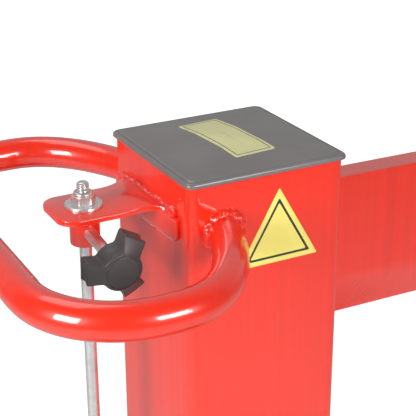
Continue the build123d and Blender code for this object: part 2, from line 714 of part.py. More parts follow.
def port_block():
    body = box((-GUIDE_HALF - 36, -FOOT_SIDE / 2), (-34, 34), (BASE_TOP, FOOT_TOP))
    return chamfer(body.edges().filter_by(Axis.Z).group_by(Axis.X)[0], 4)


def valve_block():
    half = VALVE_WIDTH / 2
    body = box((-GUIDE_HALF - VALVE_DEPTH, -GUIDE_HALF), (-half, half), (VALVE_LOW, VALVE_HIGH))
    body = chamfer(body.edges().filter_by(Axis.Z).group_by(Axis.X)[0], 3)
    for side in (-1, 1):
        body += hexagon(22, (VALVE_X, side * half, OUTLET_Z),
                        (VALVE_X, side * (half + OUTLET_BOSS), OUTLET_Z))
    return body - rod(SPOOL_DIA / 2 + RUN_GAP, (VALVE_X, 0, VALVE_LOW - 1),
                      (VALVE_X, 0, VALVE_HIGH + 1))


def feed_pipes():
    pipes = []
    for y in (-PIPE_SPREAD, PIPE_SPREAD):
        body = pipe(PIPE_DIA / 2, (VALVE_X, y, FOOT_TOP), (VALVE_X, y, VALVE_LOW),
                    PIPE_DIA / 2 - 1.5)
        body += nut(17, 14, PIPE_DIA / 2 - 0.5, (VALVE_X, y, FOOT_TOP), (0, 0, 1))
        body += nut(17, 14, PIPE_DIA / 2 - 0.5, (VALVE_X, y, VALVE_LOW), (0, 0, -1))
        pipes.append(body)
    return Compound(pipes)


def hose(points):
    """A steel pipe with a union nut at each end."""
    radius = HOSE_DIA / 2
    body = bent_pipe(points, radius, radius - 2, HOSE_BEND)
    for a, b in ((points[0], points[1]), (points[-1], points[-2])):
        way = Vector(*b) - Vector(*a)
        body += nut(22, 16, radius - 0.5, a, tuple(way))
    return body


def pressure_pipe():
    z = OUTLET_Z
    start = VALVE_WIDTH / 2 + OUTLET_BOSS
    return hose([(MOTOR_X, PUMP_Y, MOTOR_Z + PUMP_HALF_HEIGHT), (MOTOR_X, PUMP_Y, z),
                 (VALVE_X, PUMP_Y, z), (VALVE_X, start, z)])


def return_pipe():
    z = OUTLET_Z
    start = -VALVE_WIDTH / 2 - OUTLET_BOSS
    x = TANK_FRONT - 22
    return hose([(VALVE_X, start, z), (VALVE_X, -PUMP_Y, z), (x, -PUMP_Y, z),
                 (x, -PUMP_Y, TANK_TOP)])


def suction_pipe():
    body = pipe(12, (MOTOR_X, PUMP_Y, TANK_TOP), (MOTOR_X, PUMP_Y, MOTOR_Z - PUMP_HALF_HEIGHT), 9)
    return body + pipe(20, (MOTOR_X, PUMP_Y, TANK_TOP), (MOTOR_X, PUMP_Y, TANK_TOP + 6), 11)


def valve_spool():
    """Valve spool with its end washer below and a threaded end through the rocker."""
    low = VALVE_LOW - SPRING_LENGTH - 4
    body = rod(SPOOL_DIA / 2, (VALVE_X, 0, low), (VALVE_X, 0, ROCKER_LOW))
    body += rod(10.5, (VALVE_X, 0, low), (VALVE_X, 0, low + 4))
    top = ROCKER_LOW + ROCKER_THICK
    body += rod(4, (VALVE_X, 0, ROCKER_LOW), (VALVE_X, 0, top + 9))
    return body + nut(13, 6.5, 3.8, (VALVE_X, 0, top), (0, 0, 1))


def return_spring():
    """The space that the coil spring fills below the valve block."""
    return pipe(10, (VALVE_X, 0, VALVE_LOW - SPRING_LENGTH), (VALVE_X, 0, VALVE_LOW), 7.5)


def rocker_bar():
    half = ROCKER_WIDTH / 2
    reach = ARM_Y + 15
    z = (ROCKER_LOW, ROCKER_LOW + ROCKER_THICK)
    body = box((-ROD_REACH - half, -ROD_REACH + half), (-reach, reach), z)
    body += box((-ROD_REACH, -GUIDE_HALF - 4), (-16, 16), z)
    body -= rod(ROD_DIA / 2 + 2, (-ROD_REACH, 0, z[0] - 1), (-ROD_REACH, 0, z[1] + 1))
    return body - rod(4 + RUN_GAP, (VALVE_X, 0, z[0] - 1), (VALVE_X, 0, z[1] + 1))


def make_hydraulics():
    PARTS["cylinder_barrel"] = cylinder_barrel()
    PARTS["cylinder_gland"] = cylinder_gland()
    PARTS["port_block"] = port_block()
    PARTS["valve_block"] = valve_block()
    PARTS["feed_pipes"] = feed_pipes()
    PARTS["pressure_pipe"] = pressure_pipe()
    PARTS["return_pipe"] = return_pipe()
    PARTS["suction_pipe"] = suction_pipe()
    PARTS["valve_spool"] = valve_spool()
    PARTS["return_spring"] = return_spring()
    PARTS["rocker_bar"] = rocker_bar()


# ---------------------------------------------------------------- control arms
def control_arm():
    """Left arm: cranked square tube with pivot bush, log claw, grip bar and hand guard."""
    rear = -ROD_REACH - ROCKER_WIDTH / 2
    path = FilletPolyline((rear, ARM_Y, PIVOT_Z), (CRANK_START, ARM_Y, PIVOT_Z),
                          (CRANK_END, ARM_OUT_Y, PIVOT_Z), (ARM_FRONT, ARM_OUT_Y, PIVOT_Z),
                          radius=CRANK_BEND)
    inner = ARM_SIDE - 2 * ARM_WALL
    section = RectangleRounded(ARM_SIDE, ARM_SIDE, 4) - RectangleRounded(inner, inner, 1.5)
    plane = Plane(origin=path @ 0, x_dir=(0, 1, 0), z_dir=(1, 0, 0))
    arm = sweep(plane * section, path=path)
    low, high = ARM_Y - ARM_SIDE / 2 - 0.5, ARM_Y + ARM_SIDE / 2 + 1.5
    arm += rod(PIVOT_DIA / 2 + 5, (PIVOT_X, low, PIVOT_Z), (PIVOT_X, high, PIVOT_Z))
    arm -= rod(PIVOT_DIA / 2 + RUN_GAP, (PIVOT_X, low - 1, PIVOT_Z), (PIVOT_X, high + 1, PIVOT_Z))
    half = ARM_SIDE / 2
    arm += box((ARM_FRONT - 3, ARM_FRONT), (ARM_OUT_Y - half + 1, ARM_OUT_Y + half - 1),
               (PIVOT_Z - half + 1, PIVOT_Z + half - 1))
    arm += rod(GRIP_BAR_DIA / 2, (ARM_FRONT - 1, ARM_OUT_Y, PIVOT_Z),
               (ARM_FRONT + GRIP_LENGTH - 6, ARM_OUT_Y, PIVOT_Z))
    return arm + log_claw() + hand_guard()


def log_claw():
    """Toothed plate on the arm's inner face that holds the log."""
    inner = ARM_OUT_Y - ARM_SIDE / 2
    points = [(CLAW_START, inner), (CLAW_START, inner - 35)]
    for k in range(CLAW_TEETH):
        tip = CLAW_START + (k + 0.5) * CLAW_PITCH
        points += [(tip, inner - 55), (tip + CLAW_PITCH / 2, inner - 38)]
    points += [(CLAW_START + CLAW_TEETH * CLAW_PITCH, inner)]
    low = PIVOT_Z - CLAW_THICK / 2
    face = make_face(Polyline(*[(x, y, low) for x, y in points], close=True))
    return extrude(face, CLAW_THICK, dir=(0, 0, 1))


def hand_guard():
    outer = ARM_OUT_Y + ARM_SIDE / 2
    wing = box((ARM_FRONT - 14, ARM_FRONT - 9), (outer, outer + 40),
               (PIVOT_Z - 14, PIVOT_Z + 14))
    plate = box((ARM_FRONT - 14, ARM_FRONT + GRIP_LENGTH - 4), (outer + 36, outer + 40),
                (PIVOT_Z - 24, PIVOT_Z + 24))
    plate = fillet(plate.edges().filter_by(Axis.Y), 14)
    return wing + plate


def grip():
    """Moulded grip with shallow finger rings and a closed end."""
    start, end = ARM_FRONT + 0.5, ARM_FRONT + GRIP_LENGTH
    body = rod(GRIP_DIA / 2, (start, ARM_OUT_Y, PIVOT_Z), (end, ARM_OUT_Y, PIVOT_Z))
    body = fillet(body.edges().filter_by(GeomType.CIRCLE), 3)
    for k in range(6):
        x = start + 14 + k * 14
        body -= pipe(GRIP_DIA / 2 + 1, (x, ARM_OUT_Y, PIVOT_Z), (x + 4, ARM_OUT_Y, PIVOT_Z),
                     GRIP_DIA / 2 - 1.2)
    return body - rod(GRIP_BAR_DIA / 2 + RUN_GAP, (start - 1, ARM_OUT_Y, PIVOT_Z),
                      (end - 5, ARM_OUT_Y, PIVOT_Z))


def make_controls():
    sided("control_arm", control_arm())
    sided("grip", grip())


# ---------------------------------------------------------------- work table
def work_table():
    """Lift-off table: folded pan, hooks, two webs and a bar that bears on the guide."""
    half = TABLE_WIDTH / 2
    low = TABLE_TOP - TABLE_PLATE
    front = TABLE_X + TABLE_LENGTH
    body = box((TABLE_X, front), (-half, half), (low, TABLE_TOP))
    body = fillet(body.edges().filter_by(Axis.Z).group_by(Axis.X)[-1], 14)
    rim = body - box((TABLE_X - 1, front - 4), (-half + 4, half - 4), (low - 1, TABLE_TOP + 1))
    body -= box((TABLE_X - 1, GUIDE_HALF + PAD_SCREW_OUT + 2), (-TABLE_NOTCH / 2, TABLE_NOTCH / 2),
                (low - 1, TABLE_TOP + 1))
    skirt = extrude(rim.faces().sort_by(Axis.Z)[0], TABLE_RIM + TABLE_PLATE, dir=(0, 0, 1))
    body += Pos(0, 0, -TABLE_RIM) * skirt
    for k in range(4):
        x = TABLE_X + (k + 1) * RIDGE_PITCH
        ridge = Polyline((x - 6, -110, TABLE_TOP), (x + 6, -110, TABLE_TOP),
                         (x, -110, TABLE_TOP + 7), close=True)
        body += extrude(make_face(ridge), 220, dir=(0, 1, 0))
    slot = GUIDE_HALF + 10
    hook = TABLE_TOP - POCKET_DROP - TABLE_LIFT - HOOK_SPARE + SLIDE_GAP
    half_hook = POCKET_WIDTH / 2 - 5
    for y in (-POCKET_Y, POCKET_Y):
        body += box((slot + 1, slot + POCKET_SLOT - 1), (y - half_hook, y + half_hook), (hook, low))
    foot = TABLE_TOP - TABLE_BRACE
    for y in (-110, 104):
        web = Polyline((TABLE_X, y, low), (TABLE_X, y, foot), (TABLE_X + 12, y, foot),
                       (front - 40, y, low - 18), (front - 40, y, low), close=True)
        body += extrude(make_face(web), 6, dir=(0, 1, 0))
    return body + box((GUIDE_HALF + SLIDE_GAP, TABLE_X + 8), (-110, 110), (foot, foot + 20))


# ---------------------------------------------------------------- wheels
def on_axle(profile):
    """Turn a (radius, y) outline about the axle."""
    outline = Polyline(*[(AXLE_X + r, WHEEL_Y + y, WHEEL_Z) for r, y in profile], close=True)
    return revolve(make_face(outline), Axis((AXLE_X, 0, WHEEL_Z), (0, 1, 0)), 360)


def wheel_rim():
    half = WHEEL_WIDTH / 2
    bore = AXLE_DIA / 2 + RUN_GAP
    seat = WHEEL_DIA / 2 - TYRE_DEPTH
    edge = TYRE_SEAT / 2
    body = on_axle([(bore, -half), (bore + 11, -half), (bore + 13, -4), (seat - 8, -4),
                    (seat - 5, -edge), (seat, -edge), (seat, edge), (seat - 5, edge), (seat - 8, 4),
                    (bore + 13, 4), (bore + 11, half), (bore, half)])
    middle = (bore + 13 + seat - 8) / 2
    for k in range(5):
        angle = 2 * pi * k / 5
        x, z = AXLE_X + middle * cos(angle), WHEEL_Z + middle * sin(angle)
        body -= rod(9, (x, WHEEL_Y - 10, z), (x, WHEEL_Y + 10, z))
    return body


def tyre():
    half = WHEEL_WIDTH / 2
    outer = WHEEL_DIA / 2
    seat = outer - TYRE_DEPTH
    edge = TYRE_SEAT / 2
    body = on_axle([(seat, -edge), (seat + 6, -half + 1), (outer - 10, -half), (outer - 2, -half + 8),
                    (outer, -8), (outer, 8), (outer - 2, half - 8), (outer - 10, half),
                    (seat + 6, half - 1), (seat, edge)])
    for y in (-7, 0, 7):
        body -= on_axle([(outer - 2, y - 1.2), (outer + 1, y - 1.2), (outer + 1, y + 1.2),
                         (outer - 2, y + 1.2)])
    return body


def axle():
    reach = WHEEL_Y + WHEEL_WIDTH / 2 + 8
    body = rod(AXLE_DIA / 2, (AXLE_X, -reach, WHEEL_Z), (AXLE_X, reach, WHEEL_Z))
    return chamfer(body.edges().filter_by(GeomType.CIRCLE), 1.5)


def axle_collars():
    """Spacers inside the wheels and push-on caps outside them."""
    half = WHEEL_WIDTH / 2
    bore = AXLE_DIA / 2
    y0, y1 = SKID_Y + AXLE_PLATE / 2, WHEEL_Y - half - SLIDE_GAP
    spacer = pipe(15, (AXLE_X, y0, WHEEL_Z), (AXLE_X, y1, WHEEL_Z), bore)
    y2 = WHEEL_Y + half + SLIDE_GAP
    cap = rod(17, (AXLE_X, y2, WHEEL_Z), (AXLE_X, y2 + 12, WHEEL_Z))
    cap = fillet(cap.edges().group_by(Axis.Y)[-1], 5)
    cap -= rod(bore, (AXLE_X, y2 - 1, WHEEL_Z), (AXLE_X, WHEEL_Y + half + 8, WHEEL_Z))
    return Compound([spacer, cap, mirrored(spacer), mirrored(cap)])


def make_wheels():
    sided("wheel_rim", wheel_rim())
    sided("tyre", tyre())
    PARTS["axle"] = axle()
    PARTS["axle_collars"] = axle_collars()


# ---------------------------------------------------------------- power pack
FILLER = (TANK_REAR + 45, -TANK_WIDTH / 2 + 50)
DRAIN_Z = SKID_SIDE + 24
SIGHT = (TANK_FRONT - 60, SKID_SIDE + 110)


def oil_tank():
    half = TANK_WIDTH / 2
    body = box((TANK_REAR, TANK_FRONT), (-half, half), (SKID_SIDE, TANK_TOP))
    body = fillet(body.edges().filter_by(Axis.Z), TANK_CORNER)
    t = TANK_WALL
    inner = box((TANK_REAR + t, TANK_FRONT - t), (-half + t, half - t), (SKID_SIDE + t, TANK_TOP - t))
    body -= fillet(inner.edges().filter_by(Axis.Z), TANK_CORNER - t)
    body -= rod(18 + RUN_GAP, (*FILLER, TANK_TOP - 10), (*FILLER, TANK_TOP + 1))
    body -= rod(9 + RUN_GAP, (TANK_REAR - 1, 0, DRAIN_Z), (TANK_REAR + 5, 0, DRAIN_Z))
    x, z = SIGHT
    return body - rod(13 + RUN_GAP, (x, -half - 1, z), (x, -half + 5, z))


def filler_cap():
    """Screw cap with a knurled rim; its plug stands in the tank's filler hole."""
    x, y = FILLER
    body = rod(25, (x, y, TANK_TOP), (x, y, TANK_TOP + 22))
    body = fillet(body.edges().group_by(Axis.Z)[-1], 4)
    for k in range(18):
        angle = 2 * pi * k / 18
        px, py = x + 26 * cos(angle), y + 26 * sin(angle)
        body -= rod(2.4, (px, py, TANK_TOP + 3), (px, py, TANK_TOP + 30))
    return body + rod(18, (x, y, TANK_TOP - 14), (x, y, TANK_TOP))


def drain_plug():
    body = rod(9, (TANK_REAR, 0, DRAIN_Z), (TANK_REAR + 12, 0, DRAIN_Z))
    body += rod(13, (TANK_REAR - 3, 0, DRAIN_Z), (TANK_REAR, 0, DRAIN_Z))
    return body + hexagon(19, (TANK_REAR - 11, 0, DRAIN_Z), (TANK_REAR - 3, 0, DRAIN_Z))


def oil_sight():
    x, z = SIGHT
    y = -TANK_WIDTH / 2
    body = rod(13, (x, y + 8, z), (x, y, z))
    return body + rod(18, (x, y, z), (x, y - 5, z))


def across(radius, y0, y1, x=0.0, z=0.0):
    """A cylinder along Y, placed from the motor's axis."""
    return rod(radius, (MOTOR_X + x, y0, MOTOR_Z + z), (MOTOR_X + x, y1, MOTOR_Z + z))


def motor_body():
    """Finned motor barrel with its foot and the pad for the switch box."""
    outer = MOTOR_DIA / 2
    skin = outer - FIN_HEIGHT
    y0, y1 = MOTOR_REAR + 15, MOTOR_FRONT - 15
    body = across(skin, y0, y1)
    fin = box((skin - 2, outer), (y0, y1), (-1, 1))
    for k in range(FIN_COUNT):
        body += Pos(MOTOR_X, 0, MOTOR_Z) * Rot(0, 360 * k / FIN_COUNT, 0) * fin
    body += box((MOTOR_X - 16, MOTOR_X + 16), (y0 + 15, y1 - 15), (TANK_TOP + 6, MOTOR_Z - skin + 4))
    body += box((MOTOR_X - 58, MOTOR_X + 58), (y0 + 10, y1 - 10), (TANK_TOP, TANK_TOP + 6))
    body += box((MOTOR_X - 35, MOTOR_X + 35), (SWITCH_Y, SWITCH_Y + SWITCH_SIZE[1]),
                (MOTOR_Z + skin - 8, SWITCH_LOW))
    return body - across(skin - 6, y0 - 1, y1 + 1)


def motor_shields():
    outer = MOTOR_DIA / 2 - 2
    bore = SHAFT_DIA / 2 + RUN_GAP
    shields = []
    for y0, y1 in ((MOTOR_REAR, MOTOR_REAR + 15), (MOTOR_FRONT - 15, MOTOR_FRONT)):
        body = across(outer, y0, y1)
        body = fillet(body.edges().filter_by(GeomType.CIRCLE), 3)
        shields.append(body - across(bore, y0 - 1, y1 + 1))
    return Compound(shields)


def motor_stator():
    inner = MOTOR_DIA / 2 - FIN_HEIGHT - 6
    return across(inner, -70, 30) - across(36, -71, 31)


def motor_rotor():
    return across(35, -70, 30) + across(SHAFT_DIA / 2, MOTOR_REAR - 30, MOTOR_FRONT + 25)


def motor_fan():
    y0, y1 = MOTOR_REAR - 28, MOTOR_REAR - 8
    body = across(14, y0, y1) + across(44, y1 - 4, y1)
    for k in range(9):
        blade = Rot(0, 40 * k, 0) * box((12, 43), (y0, y1 - 2), (-1.2, 1.2))
        body += Pos(MOTOR_X, 0, MOTOR_Z) * blade
    return body - across(SHAFT_DIA / 2, y0 - 1, y1 + 1)


def fan_cowl():
    outer = MOTOR_DIA / 2 - 2
    y0 = MOTOR_REAR - 42
    body = across(outer, y0, MOTOR_REAR)
    body = fillet(body.edges().group_by(Axis.Y)[0], 8)
    inside = across(outer - 2, y0 + 2.5, MOTOR_REAR + 1)
    body -= fillet(inside.edges().group_by(Axis.Y)[0], 6)
    for ring, count in ((14, 8), (25, 14), (36, 20)):
        for k in range(count):
            angle = 2 * pi * k / count
            body -= across(3, y0 - 1, y0 + 4, ring * cos(angle), ring * sin(angle))
    return body


def pump_bell():
    front = MOTOR_FRONT + PUMP_BELL
    body = across(44, MOTOR_FRONT, MOTOR_FRONT + 12) + across(34, MOTOR_FRONT, front)
    return body - across(24, MOTOR_FRONT - 1, front - 5)


def pump_body():
    """Gear pump: two covers and a body, held by four bolts."""
    y0 = MOTOR_FRONT + PUMP_BELL
    body = None
    for a, b, grow in ((0, 12, 2), (12, 46, 0), (46, 60, 2)):
        slab = box((MOTOR_X - 34 - grow, MOTOR_X + 34 + grow), (y0 + a, y0 + b),
                   (MOTOR_Z - PUMP_HALF_HEIGHT, MOTOR_Z + PUMP_HALF_HEIGHT))
        slab = fillet(slab.edges().filter_by(Axis.Y), 12)
        body = slab if body is None else body + slab
    for x in (-24, 24):
        for z in (-34, 34):
            body += hexagon(13, (MOTOR_X + x, y0 + 60, MOTOR_Z + z), (MOTOR_X + x, y0 + 67, MOTOR_Z + z))
    return body


def switch_box():
    width, depth, height = SWITCH_SIZE
    half = width / 2
    y0, y1 = SWITCH_Y, SWITCH_Y + depth
    high = SWITCH_LOW + height
    body = box((MOTOR_X - half, MOTOR_X + half), (y0, y1), (SWITCH_LOW, high))
    body = fillet(body.edges(), 6)
    body -= box((MOTOR_X - half + 3, MOTOR_X + half - 3), (y0 + 3, y1 - 3), (SWITCH_LOW + 3, high - 3))
    z = BUTTON_Z - MOTOR_Z
    for x in (-BUTTON_SPREAD, BUTTON_SPREAD):
        body += across(BUTTON_DIA / 2 + 4, y0 - 3, y0 + 4, x, z)
        body -= across(BUTTON_DIA / 2 + SLIDE_GAP, y0 - 4, y0 + 5, x, z)
    return body


def push_button(x):
    """Round push button with a wider stop behind the panel."""
    y0 = SWITCH_Y
    z = BUTTON_Z - MOTOR_Z
    cap = across(BUTTON_DIA / 2, y0 - BUTTON_TRAVEL - 5, y0 + 8, x, z)
    cap = fillet(cap.edges().group_by(Axis.Y)[0], 1.5)
    return cap + across(BUTTON_DIA / 2 + 2, y0 + 4 + SLIDE_GAP, y0 + 8, x, z)


def power_inlet():
    """Appliance inlet with its sprung lid closed."""
    x = MOTOR_X - SWITCH_SIZE[0] / 2
    y, z = SWITCH_Y + SWITCH_SIZE[1] / 2, BUTTON_Z - 8
    body = rod(27, (x, y, z), (x - 6, y, z)) + rod(22, (x - 6, y, z), (x - 26, y, z))
    body += rod(25, (x - 26, y, z), (x - 32, y, z))
    body += box((x - 32, x - 20), (y - 9, y + 9), (z + 18, z + 29))
    return body


def make_power_pack():
    PARTS["oil_tank"] = oil_tank()
    PARTS["filler_cap"] = filler_cap()
    PARTS["drain_plug"] = drain_plug()
    PARTS["oil_sight"] = oil_sight()
    PARTS["motor_body"] = motor_body()
    PARTS["motor_shields"] = motor_shields()
    PARTS["motor_stator"] = motor_stator()
    PARTS["motor_rotor"] = motor_rotor()
    PARTS["motor_fan"] = motor_fan()
    PARTS["fan_cowl"] = fan_cowl()
    PARTS["pump_bell"] = pump_bell()
    PARTS["pump_body"] = pump_body()
    PARTS["switch_box"] = switch_box()
    PARTS["start_button"] = push_button(-BUTTON_SPREAD)
    PARTS["stop_button"] = push_button(BUTTON_SPREAD)
    PARTS["power_inlet"] = power_inlet()


# ---------------------------------------------------------------- build and write
def main():
    make_ram()
    make_rod_and_knob()
    make_base()
    make_hydraulics()
    make_controls()
    PARTS["work_table"] = work_table()
    make_wheels()
    make_power_pack()
    os.makedirs("parts", exist_ok=True)
    for name, shape in PARTS.items():
        export_step(shape, f"parts/{name}.step")
    print(len(PARTS), "parts written")


main()
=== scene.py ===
import json
import logging
import math
from dataclasses import dataclass, field
from enum import Enum

import bpy
import numpy as np
from mathutils import Matrix, Vector


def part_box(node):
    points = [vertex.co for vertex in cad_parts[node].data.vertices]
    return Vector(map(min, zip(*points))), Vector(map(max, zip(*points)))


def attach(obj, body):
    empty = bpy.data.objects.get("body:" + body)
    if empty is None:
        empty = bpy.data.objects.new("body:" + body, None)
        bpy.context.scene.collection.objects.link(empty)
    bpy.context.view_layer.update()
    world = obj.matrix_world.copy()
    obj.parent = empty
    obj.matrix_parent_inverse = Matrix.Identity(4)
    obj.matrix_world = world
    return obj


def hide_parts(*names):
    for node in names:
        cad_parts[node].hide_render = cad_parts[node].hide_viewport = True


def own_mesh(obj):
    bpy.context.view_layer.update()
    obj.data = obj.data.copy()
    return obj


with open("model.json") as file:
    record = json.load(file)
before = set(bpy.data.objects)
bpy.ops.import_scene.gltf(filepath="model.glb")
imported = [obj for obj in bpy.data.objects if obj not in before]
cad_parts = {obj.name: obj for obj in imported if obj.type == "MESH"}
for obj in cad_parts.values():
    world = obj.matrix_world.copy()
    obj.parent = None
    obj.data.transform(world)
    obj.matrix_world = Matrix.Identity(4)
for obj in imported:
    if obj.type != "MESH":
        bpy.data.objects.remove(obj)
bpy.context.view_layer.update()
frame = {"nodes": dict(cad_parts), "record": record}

MM = 0.001
FULL_TURN = 2 * math.pi
RECORD = frame["record"]
NODES = frame["nodes"]
BODY_OF = {node: body for body, members in RECORD["behaviour"]["bodies"].items() for node in members}
SLOT_OF = {part["node"]: part["material_slot"] for part in RECORD["subparts"]}
LOG = logging.getLogger("log_splitter")


# ------------------------------------------------------------------ finishes
class Slot(Enum):
    """The record's material slots."""

    RED_PAINT = "red_paint"
    BLACK_CAP = "black_cap"
    BLACK_KNOB = "black_knob"
    ZINC = "zinc"
    CHROME = "chrome"
    DECAL = "decal"
    DARK_PAINT = "dark_paint"
    MOTOR_ALLOY = "motor_alloy"
    BARE_STEEL = "bare_steel"
    NYLON = "nylon"
    TYRE = "tyre"
    RUBBER_GRIP = "rubber_grip"
    SWITCH_PLASTIC = "switch_plastic"
    GREEN_BUTTON = "green_button"
    RED_BUTTON = "red_button"
    INLET_BLUE = "inlet_blue"
    SIGHT_GLASS = "sight_glass"
    COPPER = "copper"
    SPRING_STEEL = "spring_steel"


MIX_INPUTS = (0, 6, 7)  # a colour mix's factor and its two colours
MIX_RESULT = 2


def set_range(node: bpy.types.Node, start: float, end: float, low: float, high: float) -> None:
    """Sets a Map Range node, so that start..end becomes low..high."""
    for socket, number in zip(("From Min", "From Max", "To Min", "To Max"), (start, end, low, high)):
        node.inputs[socket].default_value = number


class Recipe:
    """A material's node tree, with short calls for the patterns that the finishes share."""

    def __init__(self, name: str) -> None:
        """Starts a material with one Principled shader and Object coordinates.

        Args:
            name: The material's name.
        """
        self.material = bpy.data.materials.new(name)
        self.material.use_nodes = True
        self.tree = self.material.node_tree
        self.shader = self.tree.nodes["Principled BSDF"]
        self.place = self.tree.nodes.new("ShaderNodeTexCoord").outputs["Object"]

    def join(self, source: bpy.types.NodeSocket, target: bpy.types.NodeSocket) -> None:
        """Links one socket to another."""
        self.tree.links.new(source, target)

    def fix(self, **values: float) -> None:
        """Sets the shader's own sockets.

        Args:
            values: Socket names, with underscores for spaces, and their values.
        """
        for socket, value in values.items():
            self.shader.inputs[socket.replace("_", " ")].default_value = value

    def noise(self, scale: float, detail: float = 2.0,
              stretch: tuple = (1, 1, 1)) -> bpy.types.NodeSocket:
        """Cloudy noise in space.

        Args:
            scale: Features per metre.
            detail: Octaves of finer noise.
            stretch: Extra scale on each axis; a small number draws the pattern out along it.

        Returns:
            The noise, from 0 to 1.
        """
        mapping = self.tree.nodes.new("ShaderNodeMapping")
        mapping.inputs["Scale"].default_value = stretch
        self.join(self.place, mapping.inputs["Vector"])
        noise = self.tree.nodes.new("ShaderNodeTexNoise")
        noise.inputs["Scale"].default_value = scale
        noise.inputs["Detail"].default_value = detail
        self.join(mapping.outputs["Vector"], noise.inputs["Vector"])
        return noise.outputs["Fac"]

    def span(self, value: bpy.types.NodeSocket, low: float, high: float,
             start: float = 0.3, end: float = 0.7) -> bpy.types.NodeSocket:
        """Stretches a pattern.

        Args:
            value: The pattern.
            low: What its start becomes.
            high: What its end becomes.
            start: The pattern's low value.
            end: The pattern's high value.

        Returns:
            The stretched pattern, held between low and high.
        """
        node = self.tree.nodes.new("ShaderNodeMapRange")
        set_range(node, start, end, low, high)
        self.join(value, node.inputs["Value"])
        return node.outputs["Result"]

    def clouded(self, pattern: bpy.types.NodeSocket, colour: tuple, dark: float, light: float) -> None:
        """Paints the base with a colour that a pattern makes darker and lighter.

        Args:
            pattern: The pattern.
            colour: The middle colour.
            dark: Factor on the colour where the pattern is low.
            light: Factor on the colour where the pattern is high.
        """
        node = self.tree.nodes.new("ShaderNodeMix")
        node.data_type = "RGBA"
        factor, low, high = (node.inputs[number] for number in MIX_INPUTS)
        low.default_value = (*shade(colour, dark), 1.0)
        high.default_value = (*shade(colour, light), 1.0)
        self.join(self.span(pattern, 0.0, 1.0), factor)
        self.join(node.outputs[MIX_RESULT], self.shader.inputs["Base Color"])

    def relief(self, *layers: tuple) -> None:
        """Stacks bumps on the shader's normal.

        Args:
            layers: Pairs of (height pattern, height in millimetres).
        """
        normal = None
        for height, depth in layers:
            bump = self.tree.nodes.new("ShaderNodeBump")
            bump.inputs["Strength"].default_value = 1.0
            bump.inputs["Distance"].default_value = depth * MM
            self.join(height, bump.inputs["Height"])
            if normal is not None:
                self.join(normal, bump.inputs["Normal"])
            normal = bump.outputs["Normal"]
        self.join(normal, self.shader.inputs["Normal"])
        self.join(normal, self.shader.inputs["Coat Normal"])

    def matt(self, roughness: bpy.types.NodeSocket) -> None:
        """Links the roughness."""
        self.join(roughness, self.shader.inputs["Roughness"])

    def worn(self, roughness: float) -> None:
        """Gives the shader a roughness that wanders a little over a hand's breadth."""
        self.matt(self.span(self.noise(9.0, 1.0), roughness - 0.015, roughness + 0.015, 0.1, 0.9))


def shade(colour: tuple, factor: float) -> tuple:
    """The colour, darker or lighter by a factor."""
    return tuple(min(1.0, c * factor) for c in colour)


@dataclass(frozen=True)
class Finish:
    """What all finishes share."""

    name: str
    colour: tuple

    def make(self) -> bpy.types.Material:
        """Builds the material.

        Returns:
            The material.
        """
        recipe = Recipe(self.name)
        self.mix(recipe)
        return recipe.material

    def mix(self, r: Recipe) -> None:
        """Adds the finish's own patterns to a recipe."""
        raise NotImplementedError


@dataclass(frozen=True)
class PowderCoat(Finish):
    """Glossy powder coat: a deep colour under a clear skin, faintly streaked from top to bottom."""

    coat: float = 1.0
    roughness: float = 0.3

    def mix(self, r: Recipe) -> None:
        """Adds the streaks and the clear skin.

        Args:
            r: The recipe to add to.
        """
        r.clouded(r.noise(1.0, 2.0, stretch=(130.0, 130.0, 1.5)), self.colour, 0.955, 1.04)
        r.worn(self.roughness)
        r.fix(Coat_Weight=self.coat, Coat_Roughness=0.04, Coat_IOR=1.5)


@dataclass(frozen=True)
class Moulding(Finish):
    """Moulded plastic or rubber with a fine eroded grain."""

    roughness: float = 0.45
    grain: float = 0.012
    grain_scale: float = 1100.0
    shine: float = 0.5

    def mix(self, r: Recipe) -> None:
        """Adds the clouds and the grain.

        Args:
            r: The recipe to add to.
        """
        r.clouded(r.noise(16.0, 3.0), self.colour, 0.88, 1.14)
        r.worn(self.roughness)
        r.fix(Specular_IOR_Level=self.shine)
        r.relief((r.noise(self.grain_scale, 1.0), self.grain))


@dataclass(frozen=True)
class Metal(Finish):
    """Bare or plated metal with fine drawn lines and cloudy polish."""

    roughness: float = 0.18
    lines: float = 0.0015
    stretch: tuple = (700.0, 700.0, 25.0)
    metallic: float = 1.0

    def mix(self, r: Recipe) -> None:
        """Adds the clouds and the drawn lines.

        Args:
            r: The recipe to add to.
        """
        r.fix(Metallic=self.metallic)
        r.clouded(r.noise(120.0, 3.0), self.colour, 0.9, 1.06)
        drawn = r.noise(1.0, 3.0, stretch=self.stretch)
        r.matt(r.span(drawn, self.roughness * 0.85, self.roughness * 1.2, 0.2, 0.8))
        r.relief((drawn, self.lines))


@dataclass(frozen=True)
class Casting(Finish):
    """Painted casting with a sandy skin."""

    roughness: float = 0.5
    metallic: float = 0.35

    def mix(self, r: Recipe) -> None:
        """Adds the paint's clouds and the sandy skin.

        Args:
            r: The recipe to add to.
        """
        r.fix(Metallic=self.metallic, Coat_Weight=0.15, Coat_Roughness=0.2)
        r.clouded(r.noise(45.0, 4.0), self.colour, 0.85, 1.1)
        r.matt(r.span(r.noise(220.0, 3.0), self.roughness - 0.08, self.roughness + 0.08, 0.1, 0.9))
        r.relief((r.noise(650.0, 3.0), 0.05), (r.noise(70.0, 2.0), 0.06))


@dataclass(frozen=True)
class Film(Finish):
    """Printed vinyl film, smooth, with a trace of waviness."""

    roughness: float = 0.38

    def mix(self, r: Recipe) -> None:
        """Adds the faint clouds and the waviness.

        Args:
            r: The recipe to add to.
        """
        r.clouded(r.noise(35.0, 2.0), self.colour, 0.96, 1.03)
        r.worn(self.roughness)
        r.relief((r.noise(80.0, 1.0), 0.02))


